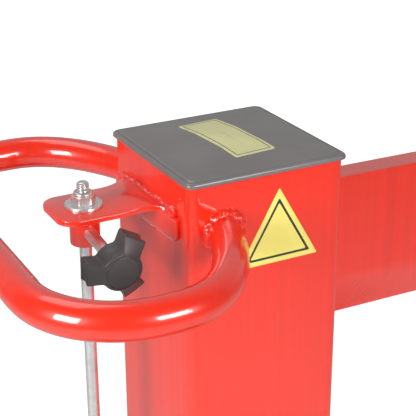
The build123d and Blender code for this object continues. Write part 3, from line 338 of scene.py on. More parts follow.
@dataclass(frozen=True)
class Lens(Finish):
    """Clear lens over amber oil."""

    def mix(self, r: Recipe) -> None:
        """Adds the oil's clouds and the lens's gloss.

        Args:
            r: The recipe to add to.
        """
        r.fix(Transmission_Weight=0.35, IOR=1.49, Coat_Weight=0.6, Coat_Roughness=0.02)
        r.clouded(r.noise(60.0, 2.0), self.colour, 0.85, 1.0)
        r.matt(r.span(r.noise(200.0, 1.0), 0.05, 0.12))
        r.relief((r.noise(120.0, 1.0), 0.01))


class Print(Enum):
    """Finishes that have no slot of their own."""

    DARK_INK = "dark_ink"
    PALE_FILM = "pale_film"
    WELD = "weld"
    DULL_ZINC = "dull_zinc"


FINISHES = {
    Slot.RED_PAINT: PowderCoat("red_paint", (0.91, 0.024, 0.004)),
    Slot.BLACK_CAP: Moulding("black_cap", (0.175, 0.162, 0.157), roughness=0.30, grain=0.003, shine=0.8),
    Slot.BLACK_KNOB: Moulding("black_knob", (0.070, 0.066, 0.065), roughness=0.46, grain=0.012),
    Slot.ZINC: Metal("zinc", (0.74, 0.735, 0.725), roughness=0.28, lines=0.0003,
                     stretch=(200.0, 200.0, 25.0), metallic=0.8),
    Slot.CHROME: Metal("chrome", (0.88, 0.89, 0.90), roughness=0.06, lines=0.0005),
    Slot.DECAL: Film("decal", (0.96, 0.83, 0.20)),
    Slot.DARK_PAINT: PowderCoat("dark_paint", (0.022, 0.023, 0.026), coat=0.5, roughness=0.4),
    Slot.MOTOR_ALLOY: Casting("motor_alloy", (0.33, 0.35, 0.37)),
    Slot.BARE_STEEL: Metal("bare_steel", (0.52, 0.52, 0.51), roughness=0.28,
                           stretch=(60.0, 60.0, 900.0)),
    Slot.NYLON: Moulding("nylon", (0.80, 0.78, 0.70), roughness=0.4),
    Slot.TYRE: Moulding("tyre", (0.022, 0.022, 0.022), roughness=0.72, grain=0.05, grain_scale=900.0),
    Slot.RUBBER_GRIP: Moulding("rubber_grip", (0.024, 0.024, 0.025), roughness=0.62, grain=0.04),
    Slot.SWITCH_PLASTIC: Moulding("switch_plastic", (0.05, 0.05, 0.053), roughness=0.45),
    Slot.GREEN_BUTTON: Moulding("green_button", (0.02, 0.36, 0.06), roughness=0.25, grain=0.004),
    Slot.RED_BUTTON: Moulding("red_button", (0.62, 0.02, 0.014), roughness=0.25, grain=0.004),
    Slot.INLET_BLUE: Moulding("inlet_blue", (0.02, 0.08, 0.36), roughness=0.4),
    Slot.SIGHT_GLASS: Lens("sight_glass", (0.78, 0.55, 0.16)),
    Slot.COPPER: Metal("copper", (0.72, 0.30, 0.13), roughness=0.3, stretch=(50.0, 900.0, 50.0)),
    Slot.SPRING_STEEL: Metal("spring_steel", (0.36, 0.36, 0.37), roughness=0.25),
    Print.DARK_INK: Film("dark_ink", (0.035, 0.035, 0.03), roughness=0.4),
    Print.PALE_FILM: Film("pale_film", (0.76, 0.73, 0.37)),
    Print.WELD: PowderCoat("painted_weld", (0.89, 0.022, 0.004), roughness=0.26),
    Print.DULL_ZINC: Metal("dull_zinc", (0.90, 0.90, 0.89), roughness=0.45),
}
MADE: dict = {}


def finish_of(kind: Enum) -> bpy.types.Material:
    """The finish's material, made the first time that it is asked for.

    Args:
        kind: A slot or a print.

    Returns:
        The material.
    """
    if kind not in MADE:
        MADE[kind] = FINISHES[kind].make()
    return MADE[kind]


# ------------------------------------------------------------------ mesh tools
@dataclass(frozen=True)
class Block:
    """A construction node's box in millimetres."""

    low: np.ndarray
    high: np.ndarray

    @classmethod
    def of(cls, node: str) -> "Block":
        """The box of one node."""
        low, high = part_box(node)
        return cls(np.array(low) / MM, np.array(high) / MM)

    @property
    def middle(self) -> np.ndarray:
        """The box's centre."""
        return (self.low + self.high) / 2

    @property
    def half(self) -> np.ndarray:
        """Half the box's size."""
        return (self.high - self.low) / 2


class Lids(Enum):
    """Which of a grid's end rows are closed with a face: the first, the last."""

    BOTH = (True, True)
    NEITHER = (False, False)
    LAST = (False, True)


@dataclass
class Skin:
    """Grid surfaces gathered into one mesh, each with its own finish."""

    finishes: list
    points: list = field(default_factory=list)
    faces: list = field(default_factory=list)
    marks: list = field(default_factory=list)
    count: int = 0

    def grid(self, rows: np.ndarray, lids: Lids = Lids.BOTH, finish: int = 0) -> "Skin":
        """Adds a surface from rows of points.

        Rows follow one direction and each row turns counter-clockwise about it, so faces point out.

        Args:
            rows: Points, shaped (rows, columns, 3), in millimetres; the last column joins the first.
            lids: Which end rows are closed with a face.
            finish: Which of the skin's finishes the surface takes.

        Returns:
            The skin itself.
        """
        n, m = rows.shape[:2]
        index = np.arange(n * m).reshape(n, m) + self.count
        beside = np.roll(index, -1, axis=1)
        quads = np.stack([index[:-1], beside[:-1], beside[1:], index[1:]], -1)
        made = quads.reshape(-1, 4).tolist()
        made += [lid.tolist() for lid, wanted in zip((index[0, ::-1], index[-1]), lids.value) if wanted]
        self.points.append(rows.reshape(-1, 3))
        self.faces += made
        self.marks += [finish] * len(made)
        self.count += n * m
        return self

    def film(self, rings: np.ndarray, line: int) -> "Skin":
        """Adds a label whose rings run inwards from its edge, with one band printed.

        Args:
            rings: Points, shaped (rings, columns, 3).
            line: The ring at which the printed band starts; it ends at the next one.

        Returns:
            The skin itself.
        """
        self.grid(rings[:line + 1], Lids.NEITHER).grid(rings[line:line + 2], Lids.NEITHER, finish=1)
        return self.grid(rings[line + 1:], Lids.LAST)

    def make(self, name: str, body: str, replaces: tuple = (), slot: Slot | None = None,
             crease: float = 38.0) -> bpy.types.Object:
        """Writes the mesh and hangs it on its body.

        Args:
            name: The piece's name.
            body: The body that it rides on.
            replaces: Construction nodes that it stands for.
            slot: The record's slot; not used.
            crease: Edges sharper than this many degrees stay sharp.

        Returns:
            The piece.
        """
        mesh = bpy.data.meshes.new(name)
        mesh.from_pydata((np.concatenate(self.points) * MM).tolist(), [], self.faces)
        for kind in self.finishes:
            mesh.materials.append(finish_of(kind))
        mesh.polygons.foreach_set("material_index", np.array(self.marks, dtype=np.int32))
        mesh.shade_smooth()
        mesh.set_sharp_from_angle(angle=math.radians(crease))
        mesh.validate()
        piece = bpy.data.objects.new(name, mesh)
        bpy.context.scene.collection.objects.link(piece)
        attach(piece, body)
        if replaces:
            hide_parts(*replaces)
        LOG.info("%s: %d faces on %s", name, len(self.faces), body)
        return piece


def turned(profile: list, segments: int = 48) -> np.ndarray:
    """Turns (radius, height) points about Z: x = r cos a, y = r sin a, z = height.

    Args:
        profile: Points from the lower end to the upper end.
        segments: Columns round the axis.

    Returns:
        Rows of points, shaped (points, segments, 3).
    """
    outline = np.asarray(profile, dtype=float)
    angle = np.arange(segments) * FULL_TURN / segments
    circle = np.stack([np.cos(angle), np.sin(angle), np.zeros(segments)], -1)
    rows = outline[:, None, :1] * circle
    rows[..., 2] = outline[:, 1:]
    return rows


def stood(rows: np.ndarray, origin: tuple, way: tuple, first: tuple = (1, 0, 0)) -> np.ndarray:
    """Moves rows made about Z so that they stand on a point and follow a direction.

    A point (x, y, z) becomes origin + x u + y v + z w, where w is the direction, u is the first
    axis made square to it, and v completes the right-handed set.

    Args:
        rows: Points made about Z.
        origin: The point to stand on.
        way: The direction that Z takes.
        first: The direction near which X falls.

    Returns:
        The moved points.
    """
    w = np.asarray(way, float) / np.linalg.norm(way)
    u = np.asarray(first, float) - np.dot(first, w) * w
    u /= np.linalg.norm(u)
    return np.asarray(origin, float) + rows @ np.stack([u, np.cross(w, u), w])


def softened(points: list, radii: list | float, steps: int = 4) -> np.ndarray:
    """Rounds an open outline's inner corners.

    Each corner is replaced by a parabola that touches both its sides one radius from the corner:
    p(t) = (1 - t)^2 a + 2 t (1 - t) corner + t^2 b.

    Args:
        points: Outline points.
        radii: One radius, or one for each inner corner.
        steps: Points on each rounding.

    Returns:
        The outline with its corners rounded.
    """
    outline = np.asarray(points, float)
    corner = outline[1:-1]
    before = outline[:-2] - corner
    after = outline[2:] - corner
    reach = np.broadcast_to(np.asarray(radii, float), (len(corner),))
    a = corner + before * np.minimum(reach / np.linalg.norm(before, axis=1), 0.49)[:, None]
    b = corner + after * np.minimum(reach / np.linalg.norm(after, axis=1), 0.49)[:, None]
    t = np.linspace(0, 1, steps)[None, :, None]
    arcs = (1 - t) ** 2 * a[:, None] + 2 * t * (1 - t) * corner[:, None] + t**2 * b[:, None]
    return np.concatenate([outline[:1], arcs.reshape(-1, outline.shape[1]), outline[-1:]])


def square_loop(half_x: np.ndarray, half_y: np.ndarray, corner: np.ndarray,
                steps: int = 7) -> np.ndarray:
    """Rounded rectangles, one for each row, counter-clockwise.

    Each corner is a quarter circle: centre + corner (cos a, sin a), with the centre one corner
    radius inside both sides.

    Args:
        half_x: Half widths along X, one per row.
        half_y: Half widths along Y, one per row.
        corner: Corner radii, one per row.
        steps: Points on each quarter circle.

    Returns:
        Outlines shaped (rows, 4 * steps, 2).
    """
    half_x, half_y, corner = np.broadcast_arrays(*[np.atleast_1d(np.asarray(v, float))
                                                   for v in (half_x, half_y, corner)])
    quarter = np.linspace(0, math.pi / 2, steps)
    angle = (np.arange(4)[:, None] * math.pi / 2 + quarter).ravel()
    sign_x = np.repeat([1, -1, -1, 1], steps)
    sign_y = np.repeat([1, 1, -1, -1], steps)
    x = sign_x * (half_x - corner)[:, None] + corner[:, None] * np.cos(angle)
    y = sign_y * (half_y - corner)[:, None] + corner[:, None] * np.sin(angle)
    return np.stack([x, y], -1)


def lifted(loops: np.ndarray, heights: np.ndarray) -> np.ndarray:
    """Gives each outline of a stack its height."""
    z = np.broadcast_to(np.asarray(heights, float)[:, None], loops.shape[:2])
    return np.concatenate([loops, z[..., None]], -1)


def carried(path: np.ndarray, rise: tuple | np.ndarray, section: np.ndarray) -> np.ndarray:
    """Carries a section along a path.

    Point = path + a side + b rise, where (a, b) is the section and side = rise x tangent, so the
    section turns counter-clockwise about the way that the path goes.

    Args:
        path: Points along the path.
        rise: The section's second axis, one for all points or one each.
        section: Outline (columns, 2), or one outline for each path point.

    Returns:
        Rows of points.
    """
    tangent = np.gradient(path, axis=0)
    tangent /= np.linalg.norm(tangent, axis=1)[:, None]
    rise = np.broadcast_to(np.asarray(rise, float), path.shape)
    rise = rise - np.sum(rise * tangent, 1)[:, None] * tangent
    rise = rise / np.linalg.norm(rise, axis=1)[:, None]
    side = np.cross(rise, tangent)
    section = np.broadcast_to(section, (len(path), *section.shape[-2:]))
    return path[:, None] + section[..., :1] * side[:, None] + section[..., 1:] * rise[:, None]


def circle_section(radius: float, segments: int = 32) -> np.ndarray:
    """A circle's points, counter-clockwise."""
    angle = np.arange(segments) * FULL_TURN / segments
    return radius * np.stack([np.cos(angle), np.sin(angle)], -1)


def smooth_random(seed: int, count: int, knots: int) -> np.ndarray:
    """Seeded random heights from -1 to 1 at evenly spaced knots, joined by cosine curves.

    Args:
        seed: The random seed.
        count: How many heights are wanted.
        knots: How many stretches the curve has.

    Returns:
        The heights.
    """
    values = np.random.default_rng(seed).uniform(-1, 1, knots + 1)
    place = np.linspace(0, knots, count)
    cell = np.minimum(place.astype(int), knots - 1)
    share = (1 - np.cos((place - cell) * math.pi)) / 2
    return values[cell] * (1 - share) + values[cell + 1] * share


def distance_along(path: np.ndarray) -> np.ndarray:
    """Each point's distance from the path's start."""
    return np.concatenate([[0], np.cumsum(np.linalg.norm(np.diff(path, axis=0), axis=1))])


@dataclass(frozen=True)
class Bead:
    """A painted weld bead along a path.

    Its radius is size (1 + ripple cos(2 pi s / pitch + drift) + lumps L): s is the distance along
    the path, drift wanders, and L is a sum of ten waves along and round the bead, each with a
    seeded length and phase.
    """

    size: float
    seed: int
    pitch: float = 5.5
    ripple: float = 0.07
    lumps: float = 0.2
    squash: float = 0.75
    drift: float = 2.6
    waves: int = 10
    wave_height: float = 0.42
    sway: float = 0.22

    def rows(self, path: np.ndarray, rise: tuple | np.ndarray, segments: int = 18) -> np.ndarray:
        """The bead's surface rows.

        Args:
            path: Points on the seam.
            rise: The way out of the seam.
            segments: Columns round the bead.

        Returns:
            Rows of points.
        """
        n = len(path)
        s = distance_along(path)
        drift = self.drift * smooth_random(self.seed, n, max(3, int(s[-1] / 9)))
        angle = np.arange(segments) * FULL_TURN / segments
        random = np.random.default_rng(self.seed + 2)
        lengths = np.geomspace(3.6, 18, self.waves) * random.uniform(0.8, 1.25, self.waves)
        phases = random.uniform(0, FULL_TURN, self.waves)
        turns = random.integers(-3, 4, self.waves)
        along = FULL_TURN * s[:, None, None] / lengths
        waves = (np.cos(along + turns * angle[:, None] + phases) * self.wave_height).sum(-1)
        pool = self.ripple * np.cos(FULL_TURN * s / self.pitch + drift)
        radius = self.size * (1 + pool[:, None] + self.lumps * np.clip(waves, -1.3, 1.3))
        ends = np.clip(np.minimum(s, s[-1] - s) / self.size, 0.12, 1)
        radius = radius * np.sqrt(ends)[:, None]
        section = circle_section(1.0, segments) * radius[..., None] * np.array([1.0, self.squash])
        sway = self.sway * self.size * smooth_random(self.seed + 3, n, max(3, int(s[-1] / 7)))
        side = np.cross(np.broadcast_to(np.asarray(rise, float), path.shape), np.gradient(path, axis=0))
        side /= np.linalg.norm(side, axis=1)[:, None]
        return carried(path, rise, section) + (side * sway[:, None])[:, None]


def straight(start: tuple, end: tuple, step: float = 0.8) -> np.ndarray:
    """Evenly spaced points on a straight line.

    Args:
        start: The first point.
        end: The last point.
        step: About how far apart the points are.

    Returns:
        The points.
    """
    start, end = np.asarray(start, float), np.asarray(end, float)
    count = max(3, int(np.linalg.norm(end - start) / step))
    return start + np.linspace(0, 1, count)[:, None] * (end - start)


# ------------------------------------------------------------------ ram
@dataclass
class RamColumn:
    """The moving square tube."""

    corner: float = 9.0
    wall: float = 5.0
    edge: float = 0.6
    bands: int = 40

    def build(self) -> None:
        """Builds the tube: rounded squares stacked along Z, outside up and inside down."""
        tube = Block.of("ram_column")
        half, low, high = tube.half[0], tube.low[2], tube.high[2]
        e = self.edge
        plain = np.linspace(low + 20, high - 20, self.bands)
        levels = np.concatenate([[low, low + e], plain, [high - e, high]])
        inset = np.concatenate([[e], np.zeros(self.bands + 2), [e]])
        outside = lifted(square_loop(half - inset, half - inset, self.corner - inset), levels)
        inner = half - self.wall
        bore = lifted(square_loop([inner] * 2, [inner] * 2, self.corner - self.wall), [high, low])
        skin = Skin([Slot.RED_PAINT]).grid(np.concatenate([outside, bore, outside[:1]]), Lids.NEITHER)
        skin.make("ram_tube", "ram", ("ram_column",), Slot.RED_PAINT)


@dataclass
class RamCap:
    """Moulded end cap: a rim with a shallow pyramid, and a skirt inside the tube."""

    rim: float = 4.0
    drop: float = 0.7
    corner: float = 6.5
    round_off: float = 2.2
    groove: float = 0.3
    blunt: float = 9.0
    skirt: float = 16.0
    skirt_wall: float = 2.5
    skirt_gap: float = 5.3

    def surface(self, reach: np.ndarray) -> np.ndarray:
        """Height of the pyramid: base + rise (1 - reach / half), rounded off at its point.

        Args:
            reach: Distances from the axis, measured square to the nearest side.

        Returns:
            Heights above the floor.
        """
        cap = Block.of("ram_cap")
        base = Block.of("ram_column").high[2] + self.rim
        half = cap.half[0] - self.round_off - 2.0
        blunted = self.blunt - np.sqrt(reach**2 + self.blunt**2)
        return base + (cap.high[2] - base) * (1 + blunted / half)

    def build(self) -> None:
        """Builds the cap from its underside, round the rim, to the pyramid's point."""
        column = Block.of("ram_column")
        half, seat = Block.of("ram_cap").half[0], column.high[2]
        base, low, r = seat + self.rim, seat - self.drop, self.round_off
        arc = np.linspace(0, math.pi / 2, 7)
        side_half = np.concatenate([[1.0, column.half[0] + 0.1, half - 0.7, half],
                                    half - r + r * np.cos(arc)])
        side_z = np.concatenate([[seat, low, low + 0.1, low + 0.8], base - r + r * np.sin(arc)])
        lip = half - r - np.array([0.7, 1.2, 1.7])
        slope = np.linspace(half - r - 2.4, 1.0, 26)
        reach = np.concatenate([side_half, lip, slope])
        height = np.concatenate([side_z, [base, base - self.groove, base], self.surface(slope)])
        radius = np.minimum(self.corner * np.clip(1 - (half - reach) / 60, 0.02, 1), reach)
        rows = lifted(square_loop(reach, reach, radius), height)
        inner = column.half[0] - self.skirt_gap
        ring_half = inner - self.skirt_wall * np.array([1, 1, 0, 0, 1])
        ring_z = seat - self.skirt * np.array([0, 1, 1, 0, 0])
        skirt = lifted(square_loop(ring_half, ring_half, 3.5), ring_z)
        skin = Skin([Slot.BLACK_CAP]).grid(rows).grid(skirt, Lids.NEITHER)
        skin.make("end_cap", "ram", ("ram_cap",), Slot.BLACK_CAP, crease=50.0)


@dataclass
class CapLabel:
    """Blank film on the cap, with a thin printed border, lying on the pyramid's four faces."""

    under: RamCap = field(default_factory=RamCap)
    thick: float = 0.3
    corner: float = 1.5
    border: float = 2.6
    line: float = 0.8
    narrower: float = 2.2
    skew: float = 4.6
    shift: tuple = (1.2, 3.4)

    def build(self) -> None:
        """Builds the film as rings from its edge inwards, each point raised to the pyramid."""
        film = Block.of("cap_decal")
        wide, long = film.half[0] - self.narrower, film.half[1]
        printed = self.border + self.line
        inset = np.concatenate([[0, 0], np.linspace(0.15, self.border, 4), [printed],
                                np.linspace(printed + 1, wide - 0.4, 24)])
        loops = self.fine_loop(wide - inset, long - inset, np.maximum(self.corner - inset, 0.15))
        skew = math.radians(self.skew)
        turn = np.array([[math.cos(skew), math.sin(skew)], [-math.sin(skew), math.cos(skew)]])
        loops = loops @ turn + np.array(self.shift)
        height = self.under.surface(np.max(np.abs(loops), axis=-1)) + self.thick
        height[0] -= self.thick + 0.2
        rings = np.concatenate([loops, height[..., None]], -1)
        skin = Skin([Print.PALE_FILM, Print.DARK_INK]).film(rings, 5)
        skin.make("cap_label", "ram", ("cap_decal",), Slot.DECAL, crease=60.0)

    def fine_loop(self, half_x: np.ndarray, half_y: np.ndarray, corner: np.ndarray) -> np.ndarray:
        """Rounded rectangles with extra points along their sides, so that they can follow a crease.

        The loop's corner points are joined by straight runs that are divided evenly.

        Args:
            half_x: Half widths along X, one per ring.
            half_y: Half widths along Y, one per ring.
            corner: Corner radii, one per ring.

        Returns:
            Outlines shaped (rings, points, 2).
        """
        loops = square_loop(half_x, half_y, corner, steps=4)
        after = np.roll(loops, -1, axis=1)
        share = np.linspace(0, 1, 12, endpoint=False)[:, None]
        runs = loops[:, 3::4, None] * (1 - share) + after[:, 3::4, None] * share
        arcs = loops.reshape(len(loops), 4, 4, 2)[:, :, :3]
        return np.concatenate([arcs, runs], axis=2).reshape(len(loops), -1, 2)


@dataclass
class SideLabel:
    """Blank triangular film on the column's side, with a printed border line."""

    border: float = 4.2
    line: float = 2.0
    tip: float = 1.6

    def build(self) -> None:
        """Builds the triangle as rings set in from its edge.

        A ring at inset d is the triangle of circumradius R - 2 d; its corners are rounded.
        """
        film = Block.of("side_decal")
        radius = 2 * film.half[0] / math.sqrt(3)
        face, out = film.high[1], film.low[1]
        inset = [0.0, 0.0, 0.25, self.border, self.border + self.line, radius / 2 - 0.4]
        depth = np.array([face, out + 0.08, out, out, out, out])
        rings = np.stack([self.triangle(radius - 2 * d) for d in inset])
        rows = np.stack([film.middle[0] + rings[..., 0],
                         np.broadcast_to(depth[:, None], rings.shape[:2]),
                         film.high[2] - radius + rings[..., 1]], -1)
        skin = Skin([Slot.DECAL, Print.DARK_INK]).film(rows, 3)
        skin.make("side_label", "ram", ("side_decal",), Slot.DECAL)

    def triangle(self, radius: float) -> np.ndarray:
        """An upright triangle, counter-clockwise seen from the front.

        Its corners are R (cos a, sin a), a third of a turn apart, and each is rounded.

        Args:
            radius: The circle through its corners.

        Returns:
            Its outline.
        """
        angle = math.pi / 2 + np.arange(4) * FULL_TURN / 3
        points = radius * np.stack([np.cos(angle), np.sin(angle)], -1)
        start = (points[0] + points[-2]) / 2
        closed = np.concatenate([start[None], points[:3], start[None]])
        return softened(closed, min(self.tip, radius * 0.3), 5)[:-1]


@dataclass
class Wedge:
    """The splitting wedge: a thick blade, bevelled below, with grinding marks on the bevel."""

    edge: float = 0.9
    nose: float = 18.0
    bevel: float = 36.0
    ripple: float = 0.38
    patch: tuple = (74.0, 32.0)
    droop: float = 0.013

    def build(self) -> None:
        """Builds the blade by carrying its (y, z) outline along X, and its weld beads.

        The upper corner at the front is cut by lowering the outline's top, and the blade's far
        end hangs a little lower than its root.
        """
        blade = Block.of("splitting_wedge")
        half, low, high = blade.half[1], blade.low[2], blade.high[2]
        shoulder, start, end = low + self.bevel, blade.low[0], blade.high[0]
        corners = [(0, high), (-half, high), (-half, shoulder), (-0.5, low), (0.5, low),
                   (half, shoulder), (half, high), (0, high)]
        outline = self.divided(softened(corners, [1.2, 9.0, 0.4, 0.4, 9.0, 1.2], 6), 3.0)[::-1]
        x = np.concatenate([[start, start + 0.4], np.arange(start + 2, end - 20, 2.0),
                            np.linspace(end - 19, end - self.edge, 16), [end]])
        rows = np.zeros((len(x), len(outline), 3))
        rows[..., 0] = x[:, None]
        rows[..., 1:] = outline
        rows[..., 2] = np.minimum(rows[..., 2], high - np.maximum(0, x - (end - self.nose))[:, None])
        self.grind(rows, low, shoulder, start)
        rows[..., 2] -= self.droop * (rows[..., 0] - start)
        middle = np.array([0, (low + high) / 2])
        rows[-1, :, 1:] += (middle - rows[-1, :, 1:]) * (self.edge / 60)
        skin = Skin([Slot.RED_PAINT]).grid(rows)
        skin.make("splitting_blade", "ram", ("splitting_wedge",), Slot.RED_PAINT, crease=30.0)
        beads = Skin([Print.WELD])
        for side in (-1, 1):
            y = side * (half + 1.0)
            seam = straight((start + 1.2, y, low + 30), (start + 1.2, y, high - 1))
            beads.grid(Bead(3.6, 40 + side).rows(seam, (0.7, side * 0.7, 0)))
        seam = straight((start + 1.0, -half, high + 0.6), (start + 1.0, half, high + 0.6))
        beads.grid(Bead(3.2, 47).rows(seam, (0.6, 0, 0.8)))
        beads.make("blade_welds", "ram", (), Slot.RED_PAINT, crease=60.0)

    def divided(self, outline: np.ndarray, step: float) -> np.ndarray:
        """Adds points to an outline.

        Args:
            outline: Points of a closed outline, the last one on the first.
            step: The longest run that is left between two points.

        Returns:
            The outline, without its closing point.
        """
        place = distance_along(outline)
        wanted = np.unique(np.concatenate([place, np.arange(0, place[-1], step)]))
        wanted = wanted[np.concatenate([[True], np.diff(wanted) > 0.05])]
        made = np.stack([np.interp(wanted, place, outline[:, k]) for k in (0, 1)], -1)
        return made[:-1]

    def grind(self, rows: np.ndarray, low: float, shoulder: float, start: float) -> None:
        """Presses slanting grinding marks into the bevel, strongest a third of the way along.

        The surface sinks by ripple times two waves of x - 0.9 z, one 7.5 and one 4.1 mm long.

        Args:
            rows: The blade's surface rows, changed in place.
            low: Height of the cutting edge.
            shoulder: Height of the bevel's upper edge.
            start: Where the blade starts along X.
        """
        x, y, z = rows[..., 0], rows[..., 1], rows[..., 2]
        along = x - 0.9 * z
        slope = np.clip((shoulder - z) / 6, 0, 1) * np.clip((z - low) / 6, 0, 1)
        middle, width = self.patch
        patch = np.exp(-(((x - start - middle) / width) ** 2))
        wave = np.cos(FULL_TURN * along / 7.5) + 0.6 * np.cos(FULL_TURN * along / 4.1 + 0.08 * z)
        rows[..., 1] = y - np.sign(y) * self.ripple * slope * patch * (wave + 1.6)


@dataclass
class Handle:
    """Loop handle of bent round tube, welded to both sides of the ram."""

    shoulder: float = 100.0
    lean: float = 18.0
    leave: float = 65.0
    arrive: float = 40.0
    rear_bend: float = 72.0
    step: float = 2.5
    flatten: float = 0.035
    seam: float = 1.3

    def route(self, column: Block, tube: Block, radius: float) -> np.ndarray:
        """The tube's centre line: side bend, rear bend and rear bar, then the same mirrored.

        The side bend is a cubic curve that leaves the ram leaning back and arrives along it; the
        rear bend is a circle, centre + R (cos a, sin a).

        Args:
            column: The ram tube's box.
            tube: The handle's box.
            radius: The handle tube's radius.

        Returns:
            Points from the right weld round to the left weld.
        """
        start_x, rear_x = tube.high[0] - radius, tube.low[0] + radius
        face = column.half[1]
        far = face + self.shoulder
        t = np.linspace(0, 1, int(self.shoulder * 1.5 / self.step))[:, None]
        lean = math.radians(self.lean)
        start = np.array([start_x, face - 1.0])
        leave = start + self.leave * np.array([-math.sin(lean), math.cos(lean)])
        end = np.array([start_x - self.shoulder + 10.0, far])
        arrive = end + np.array([self.arrive, 0.0])
        first = ((1 - t) ** 3 * start + 3 * t * (1 - t) ** 2 * leave
                 + 3 * t**2 * (1 - t) * arrive + t**3 * end)
        bend = np.linspace(math.pi / 2, math.pi, int(self.rear_bend * 1.57 / self.step))
        second = np.stack([rear_x + self.rear_bend + self.rear_bend * np.cos(bend),
                           far - self.rear_bend + self.rear_bend * np.sin(bend)], -1)
        bar_y = np.arange(second[-1, 1] - self.step, 0, -self.step)
        bar = np.stack([np.full(len(bar_y), rear_x), bar_y], -1)
        left = np.concatenate([first, second, bar])
        plan = np.concatenate([left, left[::-1] * np.array([1, -1])])[::-1]
        return np.concatenate([plan, np.full((len(plan), 1), tube.middle[2])], -1)

    def build(self) -> None:
        """Builds the tube and the two weld rings where it meets the ram."""
        column, tube = Block.of("ram_column"), Block.of("transport_handle")
        radius = tube.half[2]
        path = self.route(column, tube, radius)
        turn = np.abs(np.gradient(np.unwrap(np.arctan2(*np.gradient(path, axis=0)[:, 1::-1].T))))
        flat = 1 - self.flatten * turn / turn.max()
        section = circle_section(radius, 44) * np.stack([flat, np.ones(len(flat))], -1)[:, None]
        rows = carried(path, (0, 0, 1), section)
        skin = Skin([Slot.RED_PAINT]).grid(rows)
        skin.make("loop_handle", "ram", ("transport_handle",), Slot.RED_PAINT)
        beads = Skin([Print.WELD])
        angle = np.linspace(0, FULL_TURN, 200)
        level = np.ones(len(angle))
        wide = radius + self.seam
        x, z = tube.high[0] - radius + wide * np.cos(angle), tube.middle[2] + wide * np.sin(angle)
        for side in (-1, 1):
            ring = np.stack([x, side * (column.half[1] + 1.2) * level, z], -1)
            out = np.stack([np.cos(angle) * 0.6, side * 0.8 * level, np.sin(angle) * 0.6], -1)
            beads.grid(Bead(3.8, 60 + side).rows(ring, out))
        beads.make("handle_welds", "ram", (), Slot.RED_PAINT, crease=60.0)


